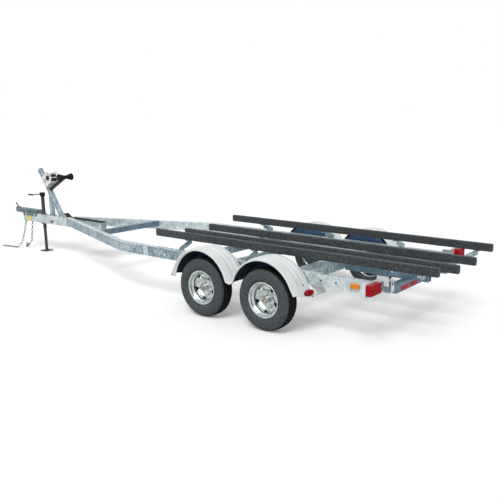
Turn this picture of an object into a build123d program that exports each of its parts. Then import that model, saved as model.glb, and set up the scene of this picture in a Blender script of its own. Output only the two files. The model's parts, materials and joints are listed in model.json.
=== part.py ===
"""Tandem-axle bunk boat trailer, galvanised, parked on its tongue jack.

Millimetres. While the pieces are made, X runs forward from the point midway between the axles, Y runs to
the trailer's left and Z runs up from the floor. At the end the whole trailer is shifted along X so that the
origin lies under the middle of its box.
"""
from build123d import *

import math
import os

# Wheels and axles
AXLE_SPACING = 884.0
WHEEL_Y = 1120.0
TYRE_R = 340.0
TYRE_W = 205.0
TREAD_W = 150.0
CROWN_EDGE = 14.0
SHOULDER_OUT = 12.0
SHOULDER_DROP = 16.0
BULGE_DROP = 8.0
BEAD_ROOM = 1.0
RIM_FLANGE_R = 196.0
RIM_SEAT_R = 180.0
RIM_WELL_R = 160.0
RIM_HALF_W = 82.0
RIM_FLANGE_T = 5.0
RIM_WALL = 6.0
BEAD_SEAT_W = 26.0
SEAT_FALL = 2.0
WELL_SLOPE = 14.0
DISC_CROWN = 30.0
DISC_CROWN_IN = 40.0
DISC_EDGE = 22.0
DISC_HOLE_R = 42.0
WHEEL_WINDOWS = 5
WINDOW_TIP = 14.0
WINDOW_EDGE = 16.0
WINDOW_HALF_W = 20.0
HUB_R = 40.0
HUB_NECK = 12.0
HUB_FLANGE_R = 78.0
HUB_FLANGE_T = 12.0
HUB_NOSE = 78.0
CAP_R = 30.0
DRUM_R = 130.0
DRUM_W = 60.0
DRUM_INSET = 60.0
SPINDLE_R = 22.0
RUNNING_FIT = 0.05
SPINDLE_END_ROOM = 6.0
AXLE_TUBE = 76.0
AXLE_TRAIL = 140.0
AXLE_PAD_T = 10.0
AXLE_PAD_L = 130.0
ARM_T = 45.0
ARM_GAP = 8.0
ARM_TUBE_R = 46.0
ARM_SPINDLE_R = 36.0

# Main frame
RAIL_OUT_Y = 930.0
RAIL_W = 76.0
RAIL_H = 127.0
RAIL_TOP = 642.0
RAIL_WALL = 5.0
RAIL_REAR_X = -1560.0
RAIL_BEND_X = 2130.0
RAIL_BEND_R = 420.0
NOSE_X = 4440.0
NOSE_Y = 60.0
TONGUE_W = 102.0
TONGUE_H = 140.0
TONGUE_DROP = 20.0
TONGUE_WALL = 6.0
TONGUE_REAR_X = 3640.0
TONGUE_FRONT_X = 5720.0
CROSS_W = 76.0
CROSS_H = 76.0
CROSS_WALL = 5.0
CROSS_FRONT_X = 3030.0
CROSS_MIDDLE_X = 730.0
CROSS_AXLE_X = -830.0
REAR_CROSS_W = 76.0
REAR_CROSS_H = 100.0
REAR_CROSS_DROP = 92.0
REAR_CROSS_FLAT_Y = 520.0
REAR_CROSS_END_Y = 740.0
REAR_CROSS_BEND_R = 200.0

# Bunks and what carries them
BUNK_W = 60.0
BUNK_H = 92.0
BUNK_ROUND = 9.0
BUNK_FRONT_X = 1630.0
BUNK_REAR_X = -2180.0
OUTER_BUNK_Y = 735.0
OUTER_BUNK_TOP = 835.0
INNER_BUNK_Y = 232.0
INNER_BUNK_TOP = 770.0
BEAM_W = 60.0
BEAM_WALL = 6.0
BEAM_REAR_X = -1870.0
POST_W = 70.0
POST_T = 8.0
POST_FOOT = 60.0
POST_ARM_H = 40.0
POST_EDGE = 10.0
OUTER_POST_X = (1055.0, 20.0, -1010.0)
BRACE_X = -2000.0
BRACE_W = 50.0
BRACE_T = 30.0
BRACE_SEAT_T = 8.0

# Fenders
FENDER_OUT_Y = 1236.0
FENDER_IN_Y = 940.0
FENDER_T = 4.0
FENDER_ROOM = 90.0
FENDER_RISE = 20.0
FENDER_VALLEY_Z = 475.0
FENDER_FLARE = 40.0
FENDER_END_TOP = 540.0
FENDER_BOTTOM = 401.0
FENDER_OUT_RISE = 59.0
FENDER_FLANGE = 30.0
SKIRT_H = 28.0
RIB_H = 6.0
RIB_W = 26.0
RIB_COUNT = 3
APRON_IN_Y = 710.0
FENDER_BRACKET_W = 60.0

# Coupler and jack
COUPLER_REAR_X = 5320.0
COUPLER_WALL = 6.0
COUPLER_H = 62.0
COUPLER_CHEEK = 46.0
COUPLER_TAPER = 40.0
SOCKET_X = 5935.0
SOCKET_R = 26.0
SOCKET_DEPTH = 46.0
SOCKET_WALL = 16.0
SOCKET_BELOW = 11.0
LATCH_W = 22.0
LATCH_T = 12.0
LATCH_L = 95.0
LATCH_TILT = 50.0
JACK_X = 5195.0
JACK_R = 28.5
JACK_WALL = 4.2
JACK_SLIDE_FIT = 0.3
JACK_TOP = 925.0
JACK_BOTTOM = 388.0
JACK_FLANGE_R = 62.0
JACK_FLANGE_T = 12.0
JACK_HEAD_R = 42.0
JACK_HEAD_H = 62.0
JACK_LEG_TOP = 600.0
JACK_FOOT_W = 165.0
JACK_FOOT_T = 10.0
JACK_CRANK_L = 150.0
JACK_CRANK_OUT = 20.0
JACK_CRANK_R = 8.0
JACK_GRIP_R = 14.0
JACK_GRIP_L = 90.0

# Winch stand
MAST_W = 64.0
MAST_FOOT_X = 4683.0
MAST_LEAN = 34.5
MAST_TOP_Z = 1375.0
STRUT_X = 4945.0
STRUT_W = 60.0
STAND_FOOT_T = 8.0
STAND_FOOT_MARGIN = 22.0
PIN_R = 13.0
PIN_L = 42.0
PIN_Z = 810.0
WINCH_UP = 637.0
WINCH_L = 240.0
WINCH_H = 190.0
WINCH_W = 150.0
WINCH_T = 6.0
DRUM_ROLL_R = 62.0
DRUM_SHAFT_R = 12.0
DRUM_SIDE_GAP = 4.0
WINCH_CRANK_L = 230.0
WINCH_CRANK_T = 12.0
WINCH_CRANK_W = 26.0
WINCH_KNOB_R = 17.0
WINCH_KNOB_L = 95.0
STOP_X = 4530.0
STOP_Z = 1275.0
STOP_W = 240.0
STOP_END_R = 56.0
STOP_WAIST_R = 27.0
STOP_PIN_R = 10.0
STOP_ARM_T = 36.0
STOP_ARM_W = 40.0
STOP_ARM_FOOT_Z = 1035.0
STOP_ARM_KNEE_X = 4880.0
STOP_ARM_KNEE_Z = 1085.0

# Lamps, plates and pad
TAIL_W = 210.0
TAIL_H = 105.0
TAIL_T = 60.0
TAIL_CORNER_R = 22.0
TAIL_OUT = 30.0
TAIL_DROP = 20.0
TAIL_BRACKET_T = 6.0
TAIL_BRACKET_LAP = 70.0
TAIL_GUARD_H = 20.0
TAIL_GUARD_W = 12.0
TAIL_RETURN = 30.0
CORNER_Y = 800.0
CORNER_T = 8.0
CORNER_H = 50.0
CORNER_HANG = 48.0
CORNER_REAR = 56.0
CORNER_FOOT = 40.0
MARKER_L = 100.0
MARKER_H = 50.0
MARKER_T = 22.0
MARKER_X = -1390.0
TONGUE_MARKER_X = 4905.0
TONGUE_MARKER_L = 45.0
TONGUE_MARKER_H = 32.0
FENDER_MARKER_L = 150.0
FENDER_MARKER_H = 55.0
FENDER_MARKER_T = 22.0
FENDER_MARKER_Y = 1005.0
FENDER_MARKER_Z = 448.0
PLATE_X = 5550.0
PLATE_L = 110.0
PLATE_H = 75.0
PLATE_T = 3.0
PAD_W = 92.0
PAD_T = 14.0
PAD_RISE = 55.0
PAD_RAMP = 110.0

# Safety chains: each link is let into the next, so that a chain is one solid
LINK_PITCH = 42.0
LINK_BAR = 9.0
LINK_W = 34.0
LINK_BITE = 4.0
CHAIN_EYE_T = 14.0
FLOOR_ROOM = 10.0

LEFT, RIGHT = 1, -1
FRONT, REAR = 1, -1
FENDER_R = TYRE_R + FENDER_ROOM
FENDER_Z = TYRE_R + FENDER_RISE
RAIL_BOTTOM = RAIL_TOP - RAIL_H
RAIL_Y = RAIL_OUT_Y - RAIL_W / 2
RAIL_IN_Y = RAIL_OUT_Y - RAIL_W
TONGUE_TOP = RAIL_TOP - TONGUE_DROP
TONGUE_BOTTOM = TONGUE_TOP - TONGUE_H
SOCKET_BOTTOM = TONGUE_TOP - SOCKET_BELOW
BEAM_BOTTOM = RAIL_TOP - REAR_CROSS_DROP
OUTER_BUNK_LOW = OUTER_BUNK_TOP - BUNK_H
INNER_BUNK_LOW = INNER_BUNK_TOP - BUNK_H
TAIL_Z = RAIL_TOP - TAIL_DROP
REAR_FACE_X = RAIL_REAR_X - REAR_CROSS_W
PAST = 2.0  # how far a cutting solid runs past the face that it cuts


def block(x0, x1, y0, y1, z0, z1):
    """A box between two corners."""
    middle = Pos((x0 + x1) / 2, (y0 + y1) / 2, (z0 + z1) / 2)
    return middle * Box(abs(x1 - x0), abs(y1 - y0), abs(z1 - z0))


def rod(start, end, radius):
    """A round bar from one point to another."""
    start, end = Vector(*start), Vector(*end)
    axis = end - start
    place = Plane(origin=start, z_dir=axis.normalized())
    return place * Cylinder(radius, axis.length, align=(Align.CENTER, Align.CENTER, Align.MIN))


def mirrored(solid):
    """The same piece on the trailer's other side."""
    return mirror(solid, about=Plane.XZ)


def sides(solid):
    """A piece of the left side together with its twin on the right."""
    return Compound([solid, mirrored(solid)])


def offset_points(points, distance):
    """The corners of a flat path moved sideways, to the left of its direction where distance is positive."""
    moved = []
    count = len(points)
    for i, (x, y) in enumerate(points):
        before = points[max(i - 1, 0)]
        after = points[min(i + 1, count - 1)]
        normals = []
        for (ax, ay), (bx, by) in ((before, (x, y)), ((x, y), after)):
            length = math.hypot(bx - ax, by - ay)
            if length > 0:
                normals.append((-(by - ay) / length, (bx - ax) / length))
        nx = sum(n[0] for n in normals) / len(normals)
        ny = sum(n[1] for n in normals) / len(normals)
        square = nx * nx + ny * ny
        moved.append((x + distance * nx / square, y + distance * ny / square))
    return moved


def turn_signs(points):
    """For each inner corner of a flat path, 1 where it turns left and -1 where it turns right."""
    signs = []
    for (ax, ay), (bx, by), (cx, cy) in zip(points, points[1:], points[2:]):
        signs.append(math.copysign(1, (bx - ax) * (cy - by) - (by - ay) * (cx - bx)))
    return signs


def ribbon(points, width, radius):
    """A flat strip of even width along a path whose corners are rounded."""
    signs = turn_signs(points)
    left = offset_points(points, width / 2)
    right = offset_points(points, -width / 2)
    left_edge = FilletPolyline(*left, radius=[radius - s * width / 2 for s in signs])
    right_edge = FilletPolyline(*right, radius=[radius + s * width / 2 for s in signs])
    ends = [Line(left[0], right[0]), Line(left[-1], right[-1])]
    return make_face(left_edge.edges() + right_edge.edges() + ends)


def lengthened(points, at_start, at_end):
    """A path with its first and last points moved outward along their runs."""
    (ax, ay), (bx, by) = points[0], points[1]
    (yx, yy), (zx, zy) = points[-2], points[-1]
    first, last = math.hypot(bx - ax, by - ay), math.hypot(zx - yx, zy - yy)
    start = (ax - (bx - ax) * at_start / first, ay - (by - ay) * at_start / first)
    end = (zx + (zx - yx) * at_end / last, zy + (zy - yy) * at_end / last)
    return [start, *points[1:-1], end]


def rail_path():
    """The left rail's middle line, seen from above."""
    return [(RAIL_REAR_X, RAIL_Y), (RAIL_BEND_X, RAIL_Y), (NOSE_X, NOSE_Y)]


def rail_block():
    """The left rail's outer form, before it is hollowed."""
    strip = ribbon(rail_path(), RAIL_W, RAIL_BEND_R)
    return Pos(0, 0, RAIL_BOTTOM) * extrude(strip, RAIL_H)


def tongue_block():
    """The tongue's outer form."""
    return block(TONGUE_REAR_X, TONGUE_FRONT_X, -TONGUE_W / 2, TONGUE_W / 2, TONGUE_BOTTOM, TONGUE_TOP)


def rail():
    """The left rail: a rectangular tube that bends in to the tongue and stops at its side."""
    bore_path = lengthened(rail_path(), PAST, -RAIL_WALL)
    strip = ribbon(bore_path, RAIL_W - 2 * RAIL_WALL, RAIL_BEND_R)
    bore = Pos(0, 0, RAIL_BOTTOM + RAIL_WALL) * extrude(strip, RAIL_H - 2 * RAIL_WALL)
    beside = block(TONGUE_REAR_X, TONGUE_FRONT_X, -TONGUE_W / 2, TONGUE_W / 2, TONGUE_BOTTOM, RAIL_TOP + PAST)
    return rail_block() - bore - beside


def tongue():
    """The tongue tube, with a hole right through it for the jack."""
    half = TONGUE_W / 2 - TONGUE_WALL
    bore = block(TONGUE_REAR_X - PAST, TONGUE_FRONT_X - TONGUE_WALL, -half, half,
                 TONGUE_BOTTOM + TONGUE_WALL, TONGUE_TOP - TONGUE_WALL)
    hole = rod((JACK_X, 0, TONGUE_BOTTOM - PAST), (JACK_X, 0, TONGUE_TOP + PAST), JACK_R + JACK_SLIDE_FIT)
    return tongue_block() - bore - hole


def rail_middle_y(x):
    """The distance of the left rail's middle line from the trailer's, at a place along it."""
    if x <= RAIL_BEND_X:
        return RAIL_Y
    return RAIL_Y + (NOSE_Y - RAIL_Y) * (x - RAIL_BEND_X) / (NOSE_X - RAIL_BEND_X)


def straight_cross(x):
    """A level cross-member whose ends meet the rails' inner sides."""
    reach = rail_middle_y(x)
    low, high = RAIL_TOP - CROSS_H, RAIL_TOP
    tube = block(x - CROSS_W / 2, x + CROSS_W / 2, -reach, reach, low, high)
    bore = block(x - CROSS_W / 2 + CROSS_WALL, x + CROSS_W / 2 - CROSS_WALL, -reach - PAST, reach + PAST,
                 low + CROSS_WALL, high - CROSS_WALL)
    return tube - bore - rail_block() - mirrored(rail_block())


def rear_cross_path():
    """The rear cross-member's middle line seen from behind, as pairs of Y and Z."""
    top = RAIL_TOP - REAR_CROSS_H / 2
    low = top - REAR_CROSS_DROP
    half = [(REAR_CROSS_FLAT_Y, low), (REAR_CROSS_END_Y, top), (RAIL_OUT_Y, top)]
    return [(-y, z) for y, z in reversed(half)] + half


def rear_cross():
    """The cross-member behind the rails' ends, with its middle set lower for the keel."""
    plane = Plane(origin=(RAIL_REAR_X, 0, 0), x_dir=(0, 1, 0), z_dir=(1, 0, 0))
    outer = extrude(plane * ribbon(rear_cross_path(), REAR_CROSS_H, REAR_CROSS_BEND_R), -REAR_CROSS_W)
    bore_path = lengthened(rear_cross_path(), PAST, PAST)
    bore_face = ribbon(bore_path, REAR_CROSS_H - 2 * CROSS_WALL, REAR_CROSS_BEND_R)
    bore_plane = Plane(origin=(RAIL_REAR_X - CROSS_WALL, 0, 0), x_dir=(0, 1, 0), z_dir=(1, 0, 0))
    return outer - extrude(bore_plane * bore_face, -(REAR_CROSS_W - 2 * CROSS_WALL))


def axle(end):
    """A torsion axle: a square tube under the rails, an arm at each end and the spindles on the arms."""
    wheel_x = end * AXLE_SPACING / 2
    tube_x = wheel_x + AXLE_TRAIL
    tube_top = RAIL_BOTTOM - AXLE_PAD_T
    tube_z = tube_top - AXLE_TUBE / 2
    half = AXLE_TUBE / 2
    arm_y = RAIL_OUT_Y + ARM_GAP
    tube = block(tube_x - half, tube_x + half, -arm_y, arm_y, tube_z - half, tube_z + half)
    pad = block(tube_x - AXLE_PAD_L / 2, tube_x + AXLE_PAD_L / 2, RAIL_IN_Y, RAIL_OUT_Y,
                tube_top, RAIL_BOTTOM)
    arm_plane = Plane(origin=(0, arm_y, 0), x_dir=(1, 0, 0), z_dir=(0, -1, 0))
    eyes = Sketch() + [Pos(tube_x, tube_z) * Circle(ARM_TUBE_R), Pos(wheel_x, TYRE_R) * Circle(ARM_SPINDLE_R)]
    arm = extrude(arm_plane * make_hull(eyes.edges()), -ARM_T)
    spindle_end = WHEEL_Y + HUB_NOSE / 2
    spindle = rod((wheel_x, arm_y, TYRE_R), (wheel_x, spindle_end, TYRE_R), SPINDLE_R)
    left = pad + arm + spindle
    return tube + left + mirrored(left)


def turned(profile, x, side):
    """A wheel's piece turned about its spindle. The profile has pairs of radius and distance outboard."""
    plane = Plane(origin=(x, side * WHEEL_Y, TYRE_R), x_dir=(1, 0, 0), z_dir=(0, 0, side))
    return revolve(plane * profile, Axis((x, 0, TYRE_R), (0, 1, 0)))


def tyre_profile():
    """Half a tyre's section as a closed outline, from the beads out to the tread."""
    bead = RIM_HALF_W - RIM_FLANGE_T
    bead_r = RIM_FLANGE_R + BEAD_ROOM
    bulge_r = (RIM_FLANGE_R + TYRE_R) / 2 - BULGE_DROP
    shoulder_r, shoulder_y = TYRE_R - SHOULDER_DROP, TREAD_W / 2 + SHOULDER_OUT
    crown_y = TREAD_W / 2 - CROWN_EDGE
    lines = [Line((TYRE_R, -crown_y), (TYRE_R, crown_y)), Line((RIM_SEAT_R, -bead), (RIM_SEAT_R, bead))]
    for s in (1, -1):
        lines.append(Line((RIM_SEAT_R, s * bead), (bead_r, s * bead)))
        lines.append(ThreePointArc((bead_r, s * bead), (bulge_r, s * TYRE_W / 2),
                                   (shoulder_r, s * shoulder_y)))
        lines.append(Line((shoulder_r, s * shoulder_y), (TYRE_R, s * crown_y)))
    return make_face(lines)


def rim_profile():
    """The rim's barrel and its dished disc, each as a closed outline."""
    flange = RIM_HALF_W - RIM_FLANGE_T
    hump = flange - BEAD_SEAT_W
    well = hump - WELL_SLOPE
    outer = [(RIM_FLANGE_R, RIM_HALF_W), (RIM_FLANGE_R, flange), (RIM_SEAT_R, flange),
             (RIM_SEAT_R - SEAT_FALL, hump), (RIM_WELL_R, well)]
    inner = [(RIM_WELL_R - RIM_WALL, well + SEAT_FALL), (RIM_SEAT_R - RIM_WALL - SEAT_FALL, hump + SEAT_FALL),
             (RIM_SEAT_R - RIM_WALL, RIM_HALF_W)]
    barrel = outer + [(r, -y) for r, y in reversed(outer)] + [(r, -y) for r, y in reversed(inner)] + inner
    disc_r = RIM_WELL_R - RIM_WALL / 2
    crown_r = disc_r - DISC_CROWN_IN
    disc = [(DISC_HOLE_R, 0), (HUB_FLANGE_R, 0), (crown_r, DISC_CROWN), (disc_r, DISC_EDGE),
            (disc_r, DISC_EDGE + RIM_WALL), (crown_r, DISC_CROWN + RIM_WALL),
            (HUB_FLANGE_R - RIM_WALL / 2, RIM_WALL), (DISC_HOLE_R, RIM_WALL)]
    return make_face(Polyline(*barrel, close=True)) + make_face(Polyline(*disc, close=True))


def rim(x, side):
    """A pressed wheel: barrel, dished disc and a ring of three-cornered windows."""
    solid = turned(rim_profile(), x, side)
    tip, base = HUB_FLANGE_R + WINDOW_TIP, RIM_WELL_R - RIM_WALL - WINDOW_EDGE
    window = make_face(Polyline((tip, 0), (base, WINDOW_HALF_W), (base, -WINDOW_HALF_W), close=True))
    plane = Plane(origin=(x, side * WHEEL_Y, TYRE_R), x_dir=(1, 0, 0), z_dir=(0, side, 0))
    for i in range(WHEEL_WINDOWS):
        cut = extrude(plane * (Rot(0, 0, 90 + 360 * i / WHEEL_WINDOWS) * window), RIM_HALF_W)
        solid -= cut
    return solid


def hub(x, side):
    """Brake drum, hub and bearing cap, bored for the spindle."""
    drum_in = -DRUM_INSET - DRUM_W
    bore_end = HUB_NOSE / 2 + SPINDLE_END_ROOM
    bore = SPINDLE_R + RUNNING_FIT
    neck_r = HUB_R + HUB_NECK
    outline = [(bore, drum_in), (DRUM_R, drum_in), (DRUM_R, -DRUM_INSET), (neck_r, -DRUM_INSET),
               (neck_r, -HUB_FLANGE_T), (HUB_FLANGE_R, -HUB_FLANGE_T), (HUB_FLANGE_R, 0), (HUB_R, 0),
               (HUB_R, bore_end), (CAP_R, bore_end), (CAP_R, HUB_NOSE), (0, HUB_NOSE), (0, bore_end),
               (bore, bore_end)]
    return turned(make_face(Polyline(*outline, close=True)), x, side)


def fender_end_x(out):
    """The distance from the axles' middle to where an arch, moved out from the skin, meets its end slope."""
    return AXLE_SPACING / 2 + math.sqrt((FENDER_R + out) ** 2 - (FENDER_END_TOP - FENDER_Z) ** 2)


def slope_x(z):
    """The distance from the axles' middle to a fender's end slope at a height."""
    foot_x = AXLE_SPACING / 2 + FENDER_R + FENDER_FLARE
    return foot_x + (fender_end_x(0) - foot_x) * (z - FENDER_BOTTOM) / (FENDER_END_TOP - FENDER_BOTTOM)


def fender_outline(out, foot_out):
    """The fender's side view: two arches and the valley moved out from the skin, and the end slopes."""
    wheel_x = AXLE_SPACING / 2
    valley_z = FENDER_VALLEY_Z + out
    foot_x = slope_x(FENDER_BOTTOM) + foot_out
    face = Pos(0, (FENDER_BOTTOM + valley_z) / 2) * Rectangle(AXLE_SPACING, valley_z - FENDER_BOTTOM)
    for s in (FRONT, REAR):
        face += Pos(s * wheel_x, FENDER_Z) * Circle(FENDER_R + out)
        face += make_face(Polyline((s * wheel_x, FENDER_BOTTOM), (s * foot_x, FENDER_BOTTOM),
                                   (s * fender_end_x(out), FENDER_END_TOP), (s * wheel_x, FENDER_END_TOP),
                                   close=True))
    return face - Pos(0, FENDER_BOTTOM - FENDER_R) * Rectangle(4 * foot_x, 2 * FENDER_R)


def along_y(face, y0, y1):
    """A side-view face made into a solid between two distances from the trailer's middle."""
    plane = Plane(origin=(0, y0, 0), x_dir=(1, 0, 0), z_dir=(0, -1, 0))
    return extrude(plane * face, -(y1 - y0))


def fender():
    """The left fender: arched skin with raised ribs, outer skirt, inner walls and aprons under the rail."""
    skin_face = fender_outline(0, 0) - fender_outline(-FENDER_T, -FENDER_T)
    solid = along_y(skin_face, FENDER_IN_Y, FENDER_OUT_Y)
    step = (FENDER_OUT_Y - FENDER_IN_Y) / (RIB_COUNT + 1)
    rib_face = fender_outline(RIB_H, 0) - fender_outline(-FENDER_T / 2, -FENDER_T / 2)
    for s in (FRONT, REAR):
        past_end = Pos(s * (fender_end_x(0) + FENDER_R), FENDER_END_TOP)
        rib_face -= past_end * Rectangle(2 * FENDER_R, 2 * FENDER_R)
    for i in range(RIB_COUNT):
        middle = FENDER_IN_Y + step * (i + 1)
        solid += along_y(rib_face, middle - RIB_W / 2, middle + RIB_W / 2)
    flange_face = fender_outline(0, 0) - fender_outline(-FENDER_FLANGE, -FENDER_FLANGE)
    below_wall = Pos(0, FENDER_END_TOP - FENDER_R) * Rectangle(4 * slope_x(FENDER_BOTTOM), 2 * FENDER_R)
    wall_face = fender_outline(0, 0) - below_wall
    solid += along_y(flange_face + wall_face, FENDER_IN_Y, FENDER_IN_Y + FENDER_T)
    skirt_face = fender_outline(0, 0) - fender_outline(-SKIRT_H, -SKIRT_H)
    solid += along_y(skirt_face, FENDER_OUT_Y - FENDER_T, FENDER_OUT_Y)
    across = Plane(origin=(0, 0, 0), x_dir=(0, 1, 0), z_dir=(1, 0, 0))
    corner = make_face(Polyline((FENDER_IN_Y, FENDER_BOTTOM), (FENDER_OUT_Y, FENDER_BOTTOM + FENDER_OUT_RISE),
                                (FENDER_OUT_Y, FENDER_BOTTOM), close=True))
    for s in (FRONT, REAR):
        foot_x, head_x = slope_x(FENDER_BOTTOM), slope_x(RAIL_BOTTOM)
        apron = make_face(Polyline((s * foot_x, FENDER_BOTTOM), (s * head_x, RAIL_BOTTOM),
                                   (s * (head_x - FENDER_T), RAIL_BOTTOM),
                                   (s * (foot_x - FENDER_T), FENDER_BOTTOM), close=True))
        solid += along_y(apron, APRON_IN_Y, FENDER_IN_Y + FENDER_FLANGE)
        start = Pos(s * AXLE_SPACING / 2, 0, 0)
        solid -= start * extrude(across * corner, s * slope_x(0))
    return solid


def fender_brackets():
    """The spacers that tie the left fender's inner flange to the rail."""
    half = FENDER_BRACKET_W / 2
    solids = [block(-half, half, RAIL_OUT_Y, FENDER_IN_Y, FENDER_VALLEY_Z - FENDER_FLANGE,
                    RAIL_BOTTOM + half)]
    end_x = fender_end_x(0)
    for s in (FRONT, REAR):
        solids.append(block(s * (end_x - FENDER_FLANGE), s * end_x, RAIL_OUT_Y, FENDER_IN_Y,
                            RAIL_BOTTOM, FENDER_END_TOP))
    return Compound(solids + [mirrored(s) for s in solids])


def bunk(y, top):
    """A carpeted board on edge, its corners rounded by the carpet."""
    board = block(BUNK_REAR_X, BUNK_FRONT_X, y - BUNK_W / 2, y + BUNK_W / 2, top - BUNK_H, top)
    return fillet(board.edges(), BUNK_ROUND)


def bunk_beam():
    """The left inner bunk's channel, open downward, from the cross-member by the axles over the rear one."""
    front_x = CROSS_AXLE_X - CROSS_W / 2
    outer = block(BEAM_REAR_X, front_x, INNER_BUNK_Y - BEAM_W / 2, INNER_BUNK_Y + BEAM_W / 2,
                  BEAM_BOTTOM, INNER_BUNK_LOW)
    inner = block(BEAM_REAR_X - PAST, front_x + PAST, INNER_BUNK_Y - BEAM_W / 2 + BEAM_WALL,
                  INNER_BUNK_Y + BEAM_W / 2 - BEAM_WALL, BEAM_BOTTOM - PAST, INNER_BUNK_LOW - BEAM_WALL)
    return outer - inner


def angle_post(x, y, low, high):
    """An angle bracket: an upright plate with a foot on what carries it and a seat under the bunk."""
    plate = block(x - POST_T / 2, x + POST_T / 2, y - POST_W / 2, y + POST_W / 2, low, high)
    foot = block(x, x + POST_FOOT, y - POST_W / 2, y + POST_W / 2, low, low + POST_T)
    seat = block(x, x + POST_FOOT, y - POST_W / 2, y + POST_W / 2, high - POST_T, high)
    return plate + foot + seat


def rail_post(x):
    """A bracket that stands on the left rail and reaches in under the outer bunk."""
    out_y, in_y = OUTER_BUNK_Y + BUNK_W / 2, OUTER_BUNK_Y - BUNK_W / 2
    edge_y = RAIL_OUT_Y - POST_EDGE
    outline = make_face(Polyline((edge_y, RAIL_TOP), (edge_y, RAIL_TOP + POST_ARM_H), (out_y, OUTER_BUNK_LOW),
                                 (in_y, OUTER_BUNK_LOW), (in_y, OUTER_BUNK_LOW - POST_ARM_H),
                                 (RAIL_IN_Y, RAIL_TOP), close=True))
    plane = Plane(origin=(x - POST_T / 2, 0, 0), x_dir=(0, 1, 0), z_dir=(1, 0, 0))
    plate = extrude(plane * outline, POST_T)
    foot = block(x, x + POST_FOOT, RAIL_IN_Y, edge_y, RAIL_TOP, RAIL_TOP + POST_T)
    seat = block(x, x + POST_FOOT, in_y, out_y, OUTER_BUNK_LOW - POST_T, OUTER_BUNK_LOW)
    return plate + foot + seat


def bunk_posts():
    """The brackets of the left bunks: on the rail and on the middle cross-member."""
    solids = [rail_post(x) for x in OUTER_POST_X]
    solids.append(angle_post(CROSS_MIDDLE_X - POST_FOOT / 2, INNER_BUNK_Y, RAIL_TOP, INNER_BUNK_LOW))
    return Compound(solids + [mirrored(s) for s in solids])


def rear_brace():
    """The bar that carries the left outer bunk's rear end from the inner bunk's channel."""
    beam_y = INNER_BUNK_Y + BEAM_W / 2
    start = Vector(BEAM_REAR_X + BRACE_W, beam_y, (BEAM_BOTTOM + INNER_BUNK_LOW) / 2)
    end = Vector(BRACE_X, OUTER_BUNK_Y, OUTER_BUNK_LOW - BRACE_W / 2)
    run = end - start
    place = Plane(origin=start, x_dir=(0, 0, 1), z_dir=run.normalized())
    bar = place * block(-BRACE_W / 2, BRACE_W / 2, -BRACE_T / 2, BRACE_T / 2, -BRACE_W, run.length)
    half = BUNK_W / 2
    seat = block(BRACE_X - half, BRACE_X + half, OUTER_BUNK_Y - half, OUTER_BUNK_Y + half,
                 OUTER_BUNK_LOW - BRACE_SEAT_T, OUTER_BUNK_LOW)
    above = block(BRACE_X - BUNK_W, BRACE_X + 2 * BUNK_W, 0, 2 * OUTER_BUNK_Y, OUTER_BUNK_LOW, OUTER_BUNK_TOP)
    inside = block(2 * BEAM_REAR_X, 0, -beam_y, beam_y, 0, OUTER_BUNK_TOP)
    return bar + seat - above - inside


def coupler():
    """The coupler: a channel that sits on the tongue's front end and narrows to the ball socket."""
    half = TONGUE_W / 2
    top = TONGUE_TOP + COUPLER_H
    shoulder_x = TONGUE_FRONT_X - COUPLER_TAPER
    neck = SOCKET_R + SOCKET_WALL
    plan = make_face(Polyline((COUPLER_REAR_X, -half - COUPLER_WALL), (shoulder_x, -half - COUPLER_WALL),
                              (SOCKET_X, -neck), (SOCKET_X, neck), (shoulder_x, half + COUPLER_WALL),
                              (COUPLER_REAR_X, half + COUPLER_WALL), close=True))
    plan += Pos(SOCKET_X, 0) * Circle(neck)
    cheek_low = TONGUE_TOP - COUPLER_CHEEK
    saddle = Pos(0, 0, cheek_low) * extrude(plan, top - cheek_low)
    ahead = block(TONGUE_FRONT_X, SOCKET_X + 2 * neck, -half - 2 * COUPLER_WALL, half + 2 * COUPLER_WALL,
                  cheek_low - PAST, SOCKET_BOTTOM)
    hollow = block(COUPLER_REAR_X - PAST, shoulder_x - half, -half + COUPLER_WALL, half - COUPLER_WALL,
                   TONGUE_TOP - PAST, top - COUPLER_WALL)
    socket = rod((SOCKET_X, 0, SOCKET_BOTTOM - PAST), (SOCKET_X, 0, SOCKET_BOTTOM + SOCKET_DEPTH), SOCKET_R)
    return saddle - ahead - hollow - socket - tongue_block()


def coupler_latch():
    """The latch lever on top of the coupler, lying back and up from the socket."""
    top = TONGUE_TOP + COUPLER_H
    base = block(SOCKET_X - 2 * LATCH_W, SOCKET_X + LATCH_W, -LATCH_W, LATCH_W, top, top + LATCH_T)
    tilt = Pos(SOCKET_X, 0, top + LATCH_T / 2) * Rot(0, -LATCH_TILT, 0)
    lever = tilt * block(0, LATCH_L, -LATCH_W / 2, LATCH_W / 2, -LATCH_T / 2, LATCH_T / 2)
    under = block(SOCKET_X - LATCH_L, SOCKET_X + 2 * LATCH_L, -LATCH_L, LATCH_L, top - LATCH_L, top)
    return base + lever - under


def jack_tube():
    """The jack's outer tube through the tongue, with a flange under it and a collar on top."""
    tube = rod((JACK_X, 0, JACK_BOTTOM), (JACK_X, 0, JACK_TOP), JACK_R)
    flange = rod((JACK_X, 0, TONGUE_BOTTOM - JACK_FLANGE_T), (JACK_X, 0, TONGUE_BOTTOM), JACK_FLANGE_R)
    collar = rod((JACK_X, 0, TONGUE_TOP), (JACK_X, 0, TONGUE_TOP + JACK_FLANGE_T), TONGUE_W / 2 - TONGUE_WALL)
    bore = rod((JACK_X, 0, JACK_BOTTOM - PAST), (JACK_X, 0, JACK_TOP + PAST), JACK_R - JACK_WALL)
    return tube + flange + collar - bore


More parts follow.
